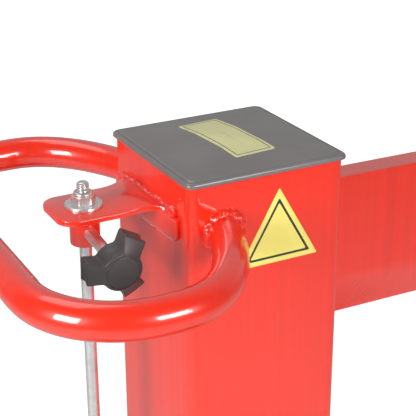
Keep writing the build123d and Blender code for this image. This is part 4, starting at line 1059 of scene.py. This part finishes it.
@dataclass
class RodBracket:
    """Plate folded down into a flange against the ram; its tongue carries the stroke rod."""

    plate: float = 4.5
    fold: float = 3.0
    tongue_half: float = 28.0
    tongue_corner: float = 15.0
    blend: float = 30.0
    blend_at: float = 54.3
    flange_corner: float = 6.0
    edge: float = 0.9
    short: float = 1.2
    near_trim: float = 4.5
    trim_at: tuple = (48.0, 34.0)
    roll: float = 0.027

    def build(self) -> None:
        """Builds the plate by carrying a rounded slot section along its folded middle line.

        The near end of the flange is drawn in and the flange rolled, both by a share that rises
        smoothly along the plate: 3 u^2 - 2 u^3.
        """
        box, column = Block.of("rod_bracket"), Block.of("ram_column")
        face, top, low, end = -column.half[0], box.high[2], box.low[2], box.low[0] + self.short
        path, rise = self.middle_line(face, top, low, end)
        s = distance_along(path)
        width = self.half_width(s, s[-1], box.half[1])
        start, run = self.trim_at
        share = np.clip((s - start) / run, 0, 1)
        share = share**2 * (3 - 2 * share)
        rows = self.slab(path, rise, width - self.near_trim / 2 * share)
        rows[..., 1] += self.near_trim / 2 * share[:, None]
        rows[..., 2] += self.roll * share[:, None] * (box.half[1] - rows[..., 1])
        skin = Skin([Slot.RED_PAINT]).grid(rows)
        skin.make("rod_plate", "ram", ("rod_bracket",), Slot.RED_PAINT, crease=32.0)
        self.welds(face, top, low, box.half[1])

    def middle_line(self, face: float, top: float, low: float, end: float) -> tuple:
        """The plate's middle line in the XZ plane.

        It runs straight along the tongue, round the fold as centre + R (sin a, cos a), and
        straight down the flange.

        Args:
            face: The ram's face along X.
            top: The tongue's upper side.
            low: The flange's lower edge.
            end: The tongue's end along X.

        Returns:
            The line's points and the plate's upward direction at each.
        """
        outer, centre_half = self.fold + self.plate, self.plate / 2
        middle_radius = outer - centre_half
        fold_x, fold_z = face - outer, top - outer
        tip = self.tongue_corner * (1 - np.cos(np.linspace(0, math.pi / 2, 14)))
        flat_x = np.concatenate([end + tip, np.linspace(end + 18, fold_x, 40)])
        bend = np.linspace(0, math.pi / 2, 12)[1:]
        foot = self.flange_corner * np.cos(np.linspace(0, math.pi / 2, 8))
        down_z = np.concatenate([np.linspace(fold_z, low + self.flange_corner, 8)[1:-1], low + foot])
        x = np.concatenate([flat_x, fold_x + middle_radius * np.sin(bend),
                            np.full(len(down_z), face - centre_half)])
        z = np.concatenate([np.full(len(flat_x), top - centre_half),
                            fold_z + middle_radius * np.cos(bend), down_z])
        slope = np.concatenate([np.zeros(len(flat_x)), bend, np.full(len(down_z), math.pi / 2)])
        flat = np.zeros(len(x))
        return np.stack([x, flat, z], -1), np.stack([np.sin(slope), flat, np.cos(slope)], -1)

    def half_width(self, s: np.ndarray, length: float, flange: float) -> np.ndarray:
        """Half width of the plate along its middle line.

        It follows a quarter circle at the tongue's end, straight sides, a concave circle into the
        flange, then the flange with small corners.

        Args:
            s: Distances from the tongue's end.
            length: The line's whole length.
            flange: The flange's half width.

        Returns:
            The half widths.
        """
        c, f = self.tongue_corner, self.flange_corner
        end = c - np.sqrt(np.maximum(c**2 - (c - np.minimum(s, c)) ** 2, 0))
        into = np.clip(s - self.blend_at, 0, self.blend)
        grow = (self.blend - np.sqrt(self.blend**2 - into**2)) * (flange - self.tongue_half) / self.blend
        width = np.minimum(self.tongue_half - end + grow, flange)
        left = np.clip(length - s, 0, f)
        return width - (f - np.sqrt(f**2 - (f - left) ** 2))

    def slab(self, path: np.ndarray, rise: np.ndarray, width: np.ndarray) -> np.ndarray:
        """The plate's surface: a rectangle with its long edges rounded, carried along a line.

        Point = path + a side + b rise, where (a, b) is the outline and side = rise x tangent.

        Args:
            path: The middle line.
            rise: The plate's upward direction at each point.
            width: Half widths.

        Returns:
            Rows of points.
        """
        trim = np.zeros(len(path))
        trim[[0, -1]] = self.edge
        half = self.plate / 2 - trim * 0.8
        loops = square_loop(width - trim, half, np.minimum(self.edge, half), 4)
        tangent = np.gradient(path, axis=0)
        tangent /= np.linalg.norm(tangent, axis=1)[:, None]
        side = np.cross(rise, tangent)
        return path[:, None] + loops[..., :1] * side[:, None] + loops[..., 1:] * rise[:, None]

    def welds(self, face: float, top: float, low: float, half: float) -> None:
        """Adds the bead in the groove above the fold and the thin one under the flange.

        Args:
            face: The ram's face along X.
            top: The tongue's upper side.
            low: The flange's lower edge.
            half: The flange's half width.
        """
        beads = Skin([Print.WELD])
        near = -half + self.near_trim
        climb = self.roll * (half - near)
        x, z = face - 1.5, top - 3.6
        groove = straight((x, near + 4, z + climb), (x, half - 3, z), 0.7)
        beads.grid(Bead(4.9, 80, ripple=0.03, lumps=0.12).rows(groove, (-0.6, 0, 0.8)))
        x, z = face - 1.3, low - 0.4
        under = straight((x, half - 6, z), (x, near + 6, z + climb), 0.6)
        beads.grid(Bead(1.9, 90, pitch=2.6, ripple=0.2, lumps=0.5).rows(under, (-0.7, 0, -0.7)))
        beads.make("bracket_welds", "ram", (), Slot.RED_PAINT, crease=60.0)


@dataclass
class LockCollar:
    """Painted collar under the tongue, tapped for the knob's stud."""

    edge: float = 1.2
    longer: float = 2.0
    bore: float = 5.4

    def build(self) -> None:
        """Builds the collar as a turned solid with rounded edges, and its weld to the tongue."""
        box = Block.of("lock_collar")
        x, y = box.middle[:2]
        radius, low, high = box.half[0], box.low[2] - self.longer, box.high[2]
        bore = self.bore
        outline = softened([(bore, low + 2), (bore, low), (radius, low), (radius, high), (bore, high)],
                           [0.4, self.edge, 0.3], 5)
        skin = Skin([Slot.RED_PAINT, Print.WELD]).grid(turned(outline, 56) + np.array([x, y, 0]))
        angle = np.linspace(0, FULL_TURN, 110)
        level = np.ones(len(angle))
        wide = radius + 0.3
        ring = np.stack([x + wide * np.cos(angle), y + wide * np.sin(angle), (high - 0.7) * level], -1)
        out = np.stack([np.cos(angle), np.sin(angle), -0.8 * level], -1)
        skin.grid(Bead(1.7, 33, pitch=2.6).rows(ring, out, 10), finish=1)
        skin.make("rod_collar", "ram", ("lock_collar",), Slot.RED_PAINT, crease=40.0)


# ------------------------------------------------------------------ stroke rod and knob
@dataclass
class Thread:
    """A metric thread cut into a rod.

    Radius = outer - depth (1 + cos(2 pi (z / pitch - a / 2 pi))) / 2, so that the groove climbs one
    pitch each turn; the ends fade into a chamfer.
    """

    outer: float = 5.0
    pitch: float = 1.5
    depth: float = 0.8

    def radii(self, z: np.ndarray, angle: np.ndarray, spans: list) -> np.ndarray:
        """The rod's radius.

        Args:
            z: Heights.
            angle: Angles round the axis.
            spans: The (low, high) threaded lengths.

        Returns:
            Radii shaped (heights, angles).
        """
        inside = np.zeros(len(z))
        for low, high in spans:
            inside = np.maximum(inside, np.clip(np.minimum(z - low, high - z) / 0.8 + 0.5, 0, 1))
        wave = (1 + np.cos(FULL_TURN * z[:, None] / self.pitch - angle[None])) / 2
        return self.outer - self.depth * inside[:, None] * wave


@dataclass
class StrokeRod:
    """Bright rod, threaded at both ends, with its washer and nuts."""

    thread: Thread = field(default_factory=Thread)
    top_thread: float = 22.0
    low_thread: float = 62.0
    flats: float = 17.0
    insert: float = 5.9
    sunk: float = 2.2

    def build(self) -> None:
        """Builds the rod, the washer, the lock nut and the two stop nuts."""
        rod, washer = Block.of("stroke_rod"), Block.of("rod_washer")
        x, y = rod.middle[:2]
        low, high = rod.low[2], rod.high[2] - self.sunk
        below, above = low + self.low_thread, high - self.top_thread
        fine = 0.2
        z = np.concatenate([np.arange(low, below, fine), np.linspace(below, above, 60),
                            np.arange(above + fine, high, fine), [high]])
        angle = np.arange(36) * FULL_TURN / 36
        radius = self.thread.radii(z, angle, [(low - 5, below), (above, high + 5)])
        chamfer = np.minimum(np.minimum(z - low, high - z), 1.1)[:, None]
        radius = np.minimum(radius, 3.9 + chamfer)
        rows = np.stack([x + radius * np.cos(angle), y + radius * np.sin(angle),
                         np.broadcast_to(z[:, None], radius.shape)], -1)
        skin = Skin([Slot.ZINC]).grid(rows)
        skin.make("stop_rod_bar", "stop_rod", ("stroke_rod",), Slot.ZINC, crease=60.0)
        hole, rim, under, over = 5.3, washer.half[0], washer.low[2], washer.high[2]
        ring = softened([(hole, under), (rim, under), (rim, over), (hole, over)], [0.35, 0.7], 4)
        skin = Skin([Slot.ZINC]).grid(turned(ring, 64) + np.array([x, y, 0]))
        skin.make("flat_washer", "stop_rod", ("rod_washer",), Slot.ZINC)
        self.nuts(x, y, washer.high[2], Block.of("rod_nuts").low[2])

    def nuts(self, x: float, y: float, seat: float, stop_low: float) -> None:
        """Builds the lock nut with its nylon ring, and the two plain stop nuts below.

        Args:
            x: The rod's place along X.
            y: The rod's place along Y.
            seat: Height of the washer's upper side.
            stop_low: Height of the lower stop nut's underside.
        """
        skin = Skin([Slot.ZINC, Slot.NYLON])
        place = np.array([x, y, 0])
        rise = np.array([0, seat])
        bore = self.insert
        crown = softened([(7.9, 6.4), (7.9, 8.9), (6.9, 10.0), (bore + 0.5, 9.9), (bore, 9.3),
                          (bore, 8.9)] + rise, [0.6, 0.8, 0.3, 0.2], 4)
        ring = softened([(bore + 0.1, 9.0), (bore - 0.8, 9.25), (4.9, 8.9)] + rise, 0.4, 3)
        skin.grid(self.hexagon_rows(seat, seat + 6.9, 0.35, 0.22) + place)
        skin.grid(turned(crown, 48) + place).grid(turned(ring, 48) + place, finish=1)
        for k in range(2):
            low = stop_low + k * 8.0
            skin.grid(self.hexagon_rows(low + 0.1, low + 7.9, 0.0, 0.4 + 0.5 * k) + place)
        skin.make("rod_nut_set", "stop_rod", ("rod_nuts",), Slot.ZINC, crease=25.0)

    def hexagon_rows(self, low: float, high: float, square: float, turn: float) -> np.ndarray:
        """A chamfered hexagon nut.

        Radius = the smaller of the hexagon, half flats / cos(angle from the flat's middle), and the
        chamfer cone, which opens by 1.7 for each unit of height from either end.

        Args:
            low: Height of the underside.
            high: Height of the upper side.
            square: Height by which the lower chamfer is cut short.
            turn: Angle by which the nut is turned.

        Returns:
            Rows of points about the rod's axis.
        """
        angle = np.arange(96) * FULL_TURN / 96
        across = (angle + turn) % (FULL_TURN / 6) - FULL_TURN / 12
        flat = self.flats / 2
        hexagon = np.minimum(flat / np.cos(across), flat / math.cos(math.pi / 6) * 0.985)
        z = np.concatenate([[low, low], low + np.linspace(0.15, 1.6, 7),
                            high - np.linspace(1.6, 0.15, 7), [high, high]])
        cone = flat * 0.955 + 1.7 * np.minimum(z - low + square, high - z)
        radius = np.minimum(hexagon, cone[:, None])
        radius[0] = radius[-1] = 5.2
        return np.stack([radius * np.cos(angle), radius * np.sin(angle),
                         np.broadcast_to(z[:, None], radius.shape)], -1)


@dataclass
class ClampKnob:
    """Three-lobed clamping knob on a plain stud."""

    droop: float = 6.5
    foot: float = 5.6
    back: float = 50.0
    plate_back: float = 55.0
    rim: float = 68.4
    face: float = 77.0
    boss: float = 11.0
    hub: float = 16.6
    tip: float = 26.4
    neck_half: float = 6.9
    flare: float = 0.22
    disc: float = 13.2
    round_off: float = 2.1
    draft: float = 0.35
    stud_radius: float = 5.0
    steps: int = 540

    def outline(self, angle: np.ndarray) -> np.ndarray:
        """Radius of the knob's outline.

        A lobe's side is the line half width = neck + flare x distance, its end the flat at the tip
        radius, and the hub a circle. A smooth minimum joins side and end, and a smooth maximum
        joins the lobe to the hub, which gives the rounded tips and the hollow roots.

        Args:
            angle: Angles round the knob.

        Returns:
            The radius at each angle.
        """
        third = FULL_TURN / 3
        delta = np.abs((angle - math.pi / 3 + third / 2) % third - third / 2)
        slant = np.sin(delta) - self.flare * np.cos(delta)
        neck, far = self.neck_half - self.flare * 12, 400.0
        side = np.where(slant > 0.02, neck / np.maximum(slant, 0.02), far)
        end = self.tip / np.cos(np.minimum(delta, 1.0))
        lobe = (side**-14.0 + end**-14.0) ** (-1 / 14.0)
        return (lobe**8.0 + self.hub**8.0) ** (1 / 8.0)

    def front(self, radius: np.ndarray | float) -> np.ndarray:
        """Height of the face: flat to the hub's edge, then sloping back smoothly to the lobes' tips.

        Args:
            radius: Distances from the knob's axis.

        Returns:
            Heights along the axis, with a fine groove round the disc.
        """
        share = np.clip((radius - self.disc - 0.6) / (self.tip - self.disc - 1), 0, 1)
        groove = 0.6 * np.exp(-(((radius - self.disc) / 0.5) ** 2))
        flat = self.face - 1.0
        return flat - (flat - self.rim) * (0.65 * np.sqrt(share + 0.02) + 0.35 * share) - groove

    def levels(self, edge: np.ndarray) -> list:
        """The knob's surface from its back, over the rim, to the middle of its face.

        Args:
            edge: The outline's radius at each angle.

        Returns:
            Pairs of (radius, height along the axis).
        """
        low, soft = self.plate_back + 0.9, self.round_off
        rim = self.front(edge - soft) - soft
        shoulder = edge - self.draft - soft
        made = [(self.boss - 0.8, self.back), (self.boss, self.back + 0.8), (self.boss, self.plate_back),
                (edge - 2.0, self.plate_back), (edge - 0.5, self.plate_back + 0.15), (edge, low)]
        for share in np.linspace(0.12, 0.94, 10):
            cove = 1.15 * np.sin(math.pi * share) ** 1.5 + self.draft * share
            made.append((edge - cove, low + (rim - low) * share))
        for a in np.linspace(0, math.pi / 2, 6):
            made.append((shoulder + soft * math.cos(a), rim + soft * math.sin(a)))
        disc = self.disc
        face = [shoulder * (1 - share) + (disc + 0.9) * share for share in np.linspace(0, 1, 14)[1:]]
        face += [*np.linspace(disc + 0.8, disc - 1.2, 14), *np.linspace(disc - 2.2, 0.4, 6)]
        return made + [(radius, self.front(radius)) for radius in face]

    def build(self) -> None:
        """Builds the knob in its own frame, stands it on the stud's line and builds the stud."""
        rod, stud = Block.of("stroke_rod"), Block.of("knob_stud")
        lean = math.radians(self.droop)
        way = (0, -math.cos(lean), -math.sin(lean))
        height = stud.high[2] - self.stud_radius * math.cos(lean) + self.foot * math.sin(lean)
        origin = (rod.middle[0], 0, height)
        angle = np.arange(self.steps) * FULL_TURN / self.steps
        cos, sin, level = np.cos(angle), np.sin(angle), np.ones(self.steps)
        levels = self.levels(self.outline(angle))
        rows = np.stack([np.stack([r * cos, r * sin, z * level], -1) for r, z in levels])
        skin = Skin([Slot.BLACK_KNOB]).grid(stood(rows, origin, way))
        skin.make("lobed_knob", "knob", ("clamp_knob",), Slot.BLACK_KNOB, crease=50.0)
        thick, foot = self.stud_radius, self.foot
        shank = softened([(thick - 0.8, foot), (thick, foot + 0.8), (thick, self.rim - 4)], 0.3, 3)
        skin = Skin([Print.DULL_ZINC]).grid(stood(turned(shank, 40), origin, way))
        skin.make("clamp_stud", "knob", ("knob_stud",), Slot.ZINC)


# ------------------------------------------------------------------ valve spring
@dataclass
class ReturnSpring:
    """Coil spring under the valve block, with closed ends.

    A point of the coil is R (cos a, sin a) at a height that climbs evenly between two flat end turns.
    """

    wire: float = 1.25
    turns: float = 7.0
    flat_turns: float = 0.8

    def build(self) -> None:
        """Builds the coil and hangs it on the spool, with a mesh of its own."""
        box = Block.of("return_spring")
        x, y = box.middle[:2]
        low, high = box.low[2] + self.wire, box.high[2] - self.wire
        radius = box.half[0] - self.wire
        turn = np.linspace(0, self.turns, int(self.turns * 40))
        climb = np.clip((turn - self.flat_turns) / (self.turns - 2 * self.flat_turns), 0, 1)
        angle = turn * FULL_TURN
        path = np.stack([x + radius * np.cos(angle), y + radius * np.sin(angle),
                         low + (high - low) * climb], -1)
        rows = carried(path, (0, 0, 1), circle_section(self.wire, 12))
        skin = Skin([Slot.SPRING_STEEL]).grid(rows)
        piece = skin.make("valve_spring", "spool", ("return_spring",), Slot.SPRING_STEEL, crease=60.0)
        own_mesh(piece)


# ------------------------------------------------------------------ the rest of the machine
@dataclass
class Carried:
    """A construction node kept in its shape: a merged copy with its sharp edges broken."""

    node: str
    bevel: float = 0.8
    crease: float = 34.0
    bevel_above: float = 38.0

    def merged(self) -> bpy.types.Mesh:
        """Copies the node's loose triangles into one mesh with shared corners.

        Returns:
            The new mesh, without triangles that have shrunk to a line.
        """
        source = NODES[self.node].data
        corners = np.zeros(len(source.vertices) * 3, np.float32)
        source.vertices.foreach_get("co", corners)
        used = np.zeros(len(source.loops), np.int32)
        source.loops.foreach_get("vertex_index", used)
        places, shared = np.unique(np.round(corners.reshape(-1, 3), 7), axis=0, return_inverse=True)
        triangles = shared.reshape(-1)[used].reshape(-1, 3)
        whole = (triangles != np.roll(triangles, 1, axis=1)).all(axis=1)
        mesh = bpy.data.meshes.new(self.node + "_body")
        mesh.from_pydata(places.tolist(), [], triangles[whole].tolist())
        return mesh

    def build(self) -> bpy.types.Object:
        """Copies the node's mesh, rounds its edges and gives it its finish.

        Returns:
            The piece.
        """
        mesh = self.merged()
        slot = Slot(SLOT_OF[self.node])
        mesh.materials.append(finish_of(slot))
        mesh.shade_smooth()
        mesh.set_sharp_from_angle(angle=math.radians(self.crease))
        piece = bpy.data.objects.new(self.node + "_body", mesh)
        bpy.context.scene.collection.objects.link(piece)
        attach(piece, BODY_OF[self.node])
        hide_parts(self.node)
        if self.bevel:
            edges = piece.modifiers.new("broken_edges", "BEVEL")
            edges.width = self.bevel * MM
            edges.segments = 2
            edges.limit_method = "ANGLE"
            edges.angle_limit = math.radians(self.bevel_above)
            edges.use_clamp_overlap = True
            edges.harden_normals = True
        LOG.info("%s: %d faces on %s", piece.name, len(mesh.polygons), BODY_OF[self.node])
        return piece


@dataclass
class BaseWelds:
    """Bead round the guide column's foot."""

    half: float = 82.0
    gap: float = 1.2
    corner: float = 12.0
    size: float = 4.0

    def build(self) -> None:
        """Builds the bead on a rounded square."""
        wide = self.half + self.gap
        loop = square_loop(wide, wide, self.corner, 8)[0]
        closed = np.concatenate([loop, loop[:1]])
        place = distance_along(closed)
        wanted = np.arange(0, place[-1], 1.2)
        x, y = (np.interp(wanted, place, closed[:, k]) for k in (0, 1))
        level = np.ones(len(wanted))
        ring = np.stack([x, y, (Block.of("guide_column").low[2] + 1.0) * level], -1)
        out = np.stack([x / self.half, y / self.half, level], -1)
        skin = Skin([Print.WELD]).grid(Bead(self.size, 120).rows(ring, out, 10))
        skin.make("foot_welds", "frame", (), Slot.RED_PAINT, crease=60.0)


# ------------------------------------------------------------------ stage
@dataclass(frozen=True)
class Softbox:
    """A rectangular soft light."""

    name: str
    place: tuple
    size: tuple
    power: float


@dataclass
class Stage:
    """Camera, lamps, floor and backdrop."""

    eye: tuple = (-0.43289, -0.78812, 1.75922)
    ahead: tuple = (0.42900, 0.81333, -0.39299)
    above: tuple = (0.18759, 0.34536, 0.91953)
    lens: float = 101.1
    target: tuple = (0.0, 0.0, 1.25)
    softboxes: tuple = (
        Softbox("key_softbox", (-2.8, -0.9, 2.1), (1.2, 1.4), 84.0),
        Softbox("front_softbox", (0.9, -2.9, 2.2), (1.2, 1.0), 64.0),
        Softbox("top_softbox", (-0.4, 1.0, 3.4), (1.4, 1.0), 8.0),
    )
    backdrop: tuple = (0.46, 0.84, 0.28)
    backdrop_edge: tuple = (0.1, 0.95)
    room_light: tuple = (0.2, 0.6)
    floor_reach: float = 40.0
    glow: tuple = (0.66, 0.98)
    glow_from: tuple = (1.5, 5.0)

    def camera(self) -> None:
        """Places the camera."""
        data = bpy.data.cameras.new("camera")
        data.lens = self.lens
        data.sensor_width = 36.0
        data.clip_start = 0.05
        camera = bpy.data.objects.new("camera", data)
        back = -Vector(self.ahead).normalized()
        side = Vector(self.above).cross(back).normalized()
        up = back.cross(side)
        turn = Matrix((side, up, back)).transposed().to_4x4()
        camera.matrix_world = Matrix.Translation(self.eye) @ turn
        bpy.context.scene.collection.objects.link(camera)
        bpy.context.scene.camera = camera

    def lights(self) -> None:
        """Hangs the soft lights, each turned to the machine's head."""
        for box in self.softboxes:
            data = bpy.data.lights.new(box.name, "AREA")
            data.shape = "RECTANGLE"
            data.size, data.size_y = box.size
            data.energy = box.power
            lamp = bpy.data.objects.new(box.name, data)
            lamp.location = box.place
            back = Vector(box.place) - Vector(self.target)
            lamp.rotation_euler = back.to_track_quat("Z", "Y").to_euler()
            bpy.context.scene.collection.objects.link(lamp)

    def world(self) -> None:
        """Makes the surroundings.

        They are white to the camera. To the machine they are light behind it and dim in front.
        """
        world = bpy.data.worlds.new("studio")
        world.use_nodes = True
        bpy.context.scene.world = world
        nodes, links = world.node_tree.nodes, world.node_tree.links
        nodes.clear()
        sky = nodes.new("ShaderNodeTexCoord")
        facing = nodes.new("ShaderNodeVectorMath")
        facing.operation = "DOT_PRODUCT"
        facing.inputs[1].default_value = self.backdrop
        links.new(sky.outputs["Generated"], facing.inputs[0])
        level = nodes.new("ShaderNodeMapRange")
        level.interpolation_type = "SMOOTHSTEP"
        set_range(level, *self.backdrop_edge, *self.room_light)
        links.new(facing.outputs["Value"], level.inputs["Value"])
        ray = nodes.new("ShaderNodeLightPath")
        room = nodes.new("ShaderNodeBackground")
        links.new(level.outputs["Result"], room.inputs["Strength"])
        white = nodes.new("ShaderNodeBackground")
        white.inputs["Color"].default_value = (1.0, 1.0, 1.0, 1.0)
        mix = nodes.new("ShaderNodeMixShader")
        out = nodes.new("ShaderNodeOutputWorld")
        links.new(ray.outputs["Is Camera Ray"], mix.inputs["Fac"])
        links.new(room.outputs["Background"], mix.inputs[1])
        links.new(white.outputs["Background"], mix.inputs[2])
        links.new(mix.outputs["Shader"], out.inputs["Surface"])

    def floor(self) -> None:
        """Lays a wide pale floor that keeps the machine's shadow; it glows a little more far away."""
        far = self.floor_reach
        mesh = bpy.data.meshes.new("floor")
        corners = [(-far, -far, 0), (far, -far, 0), (far, far, 0), (-far, far, 0)]
        mesh.from_pydata(corners, [], [(0, 1, 2, 3)])
        r = Recipe("pale_floor")
        r.clouded(r.noise(3.0, 2.0), (0.735, 0.735, 0.735), 0.992, 1.008)
        r.fix(Roughness=0.8, Specular_IOR_Level=0.1)
        seen = r.tree.nodes.new("ShaderNodeLightPath")
        away = r.tree.nodes.new("ShaderNodeVectorMath")
        away.operation = "LENGTH"
        r.join(r.place, away.inputs[0])
        level = r.tree.nodes.new("ShaderNodeMath")
        level.operation = "MULTIPLY"
        r.join(seen.outputs["Is Camera Ray"], level.inputs[0])
        r.join(r.span(away.outputs["Value"], *self.glow, *self.glow_from), level.inputs[1])
        r.join(level.outputs["Value"], r.shader.inputs["Emission Strength"])
        r.shader.inputs["Emission Color"].default_value = (1, 1, 1, 1)
        mesh.materials.append(r.material)
        floor = bpy.data.objects.new("floor", mesh)
        bpy.context.scene.collection.objects.link(floor)

    def build(self) -> None:
        """Builds the whole stage."""
        bpy.context.scene.view_settings.view_transform = "Standard"
        self.lights()
        self.world()
        self.floor()


# nodes that newly built pieces stand for; every other node is carried over
REBUILT = {
    "ram_column", "ram_cap", "cap_decal", "side_decal", "splitting_wedge", "transport_handle",
    "rod_bracket", "lock_collar", "stroke_rod", "rod_washer", "rod_nuts", "clamp_knob", "knob_stud",
    "return_spring",
}
# rounding in millimetres on nodes whose edges take less than the usual
FINE_EDGES = {
    "tyre_left": 0.0, "tyre_right": 0.0, "fan_cowl": 0.3, "motor_fan": 0.3, "motor_stator": 0.3,
    "feed_pipes": 0.4, "pressure_pipe": 0.4, "return_pipe": 0.4, "guide_pads": 0.4,
}
PIECES = (RamColumn, RamCap, CapLabel, SideLabel, Wedge, Handle, RodBracket, LockCollar, StrokeRod,
          ClampKnob, ReturnSpring, BaseWelds)


def build_machine() -> None:
    """Builds every class in order, then the carried nodes."""
    for piece in PIECES:
        LOG.info("building %s", piece.__name__)
        piece().build()
    for node in sorted(set(NODES) - REBUILT):
        Carried(node, FINE_EDGES.get(node, Carried.bevel)).build()


def main() -> None:
    """Sets the camera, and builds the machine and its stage."""
    logging.basicConfig(level=logging.INFO, format="%(name)s %(message)s")
    stage = Stage()
    stage.camera()
    build_machine()
    stage.build()


if __name__ == "__main__":
    main()
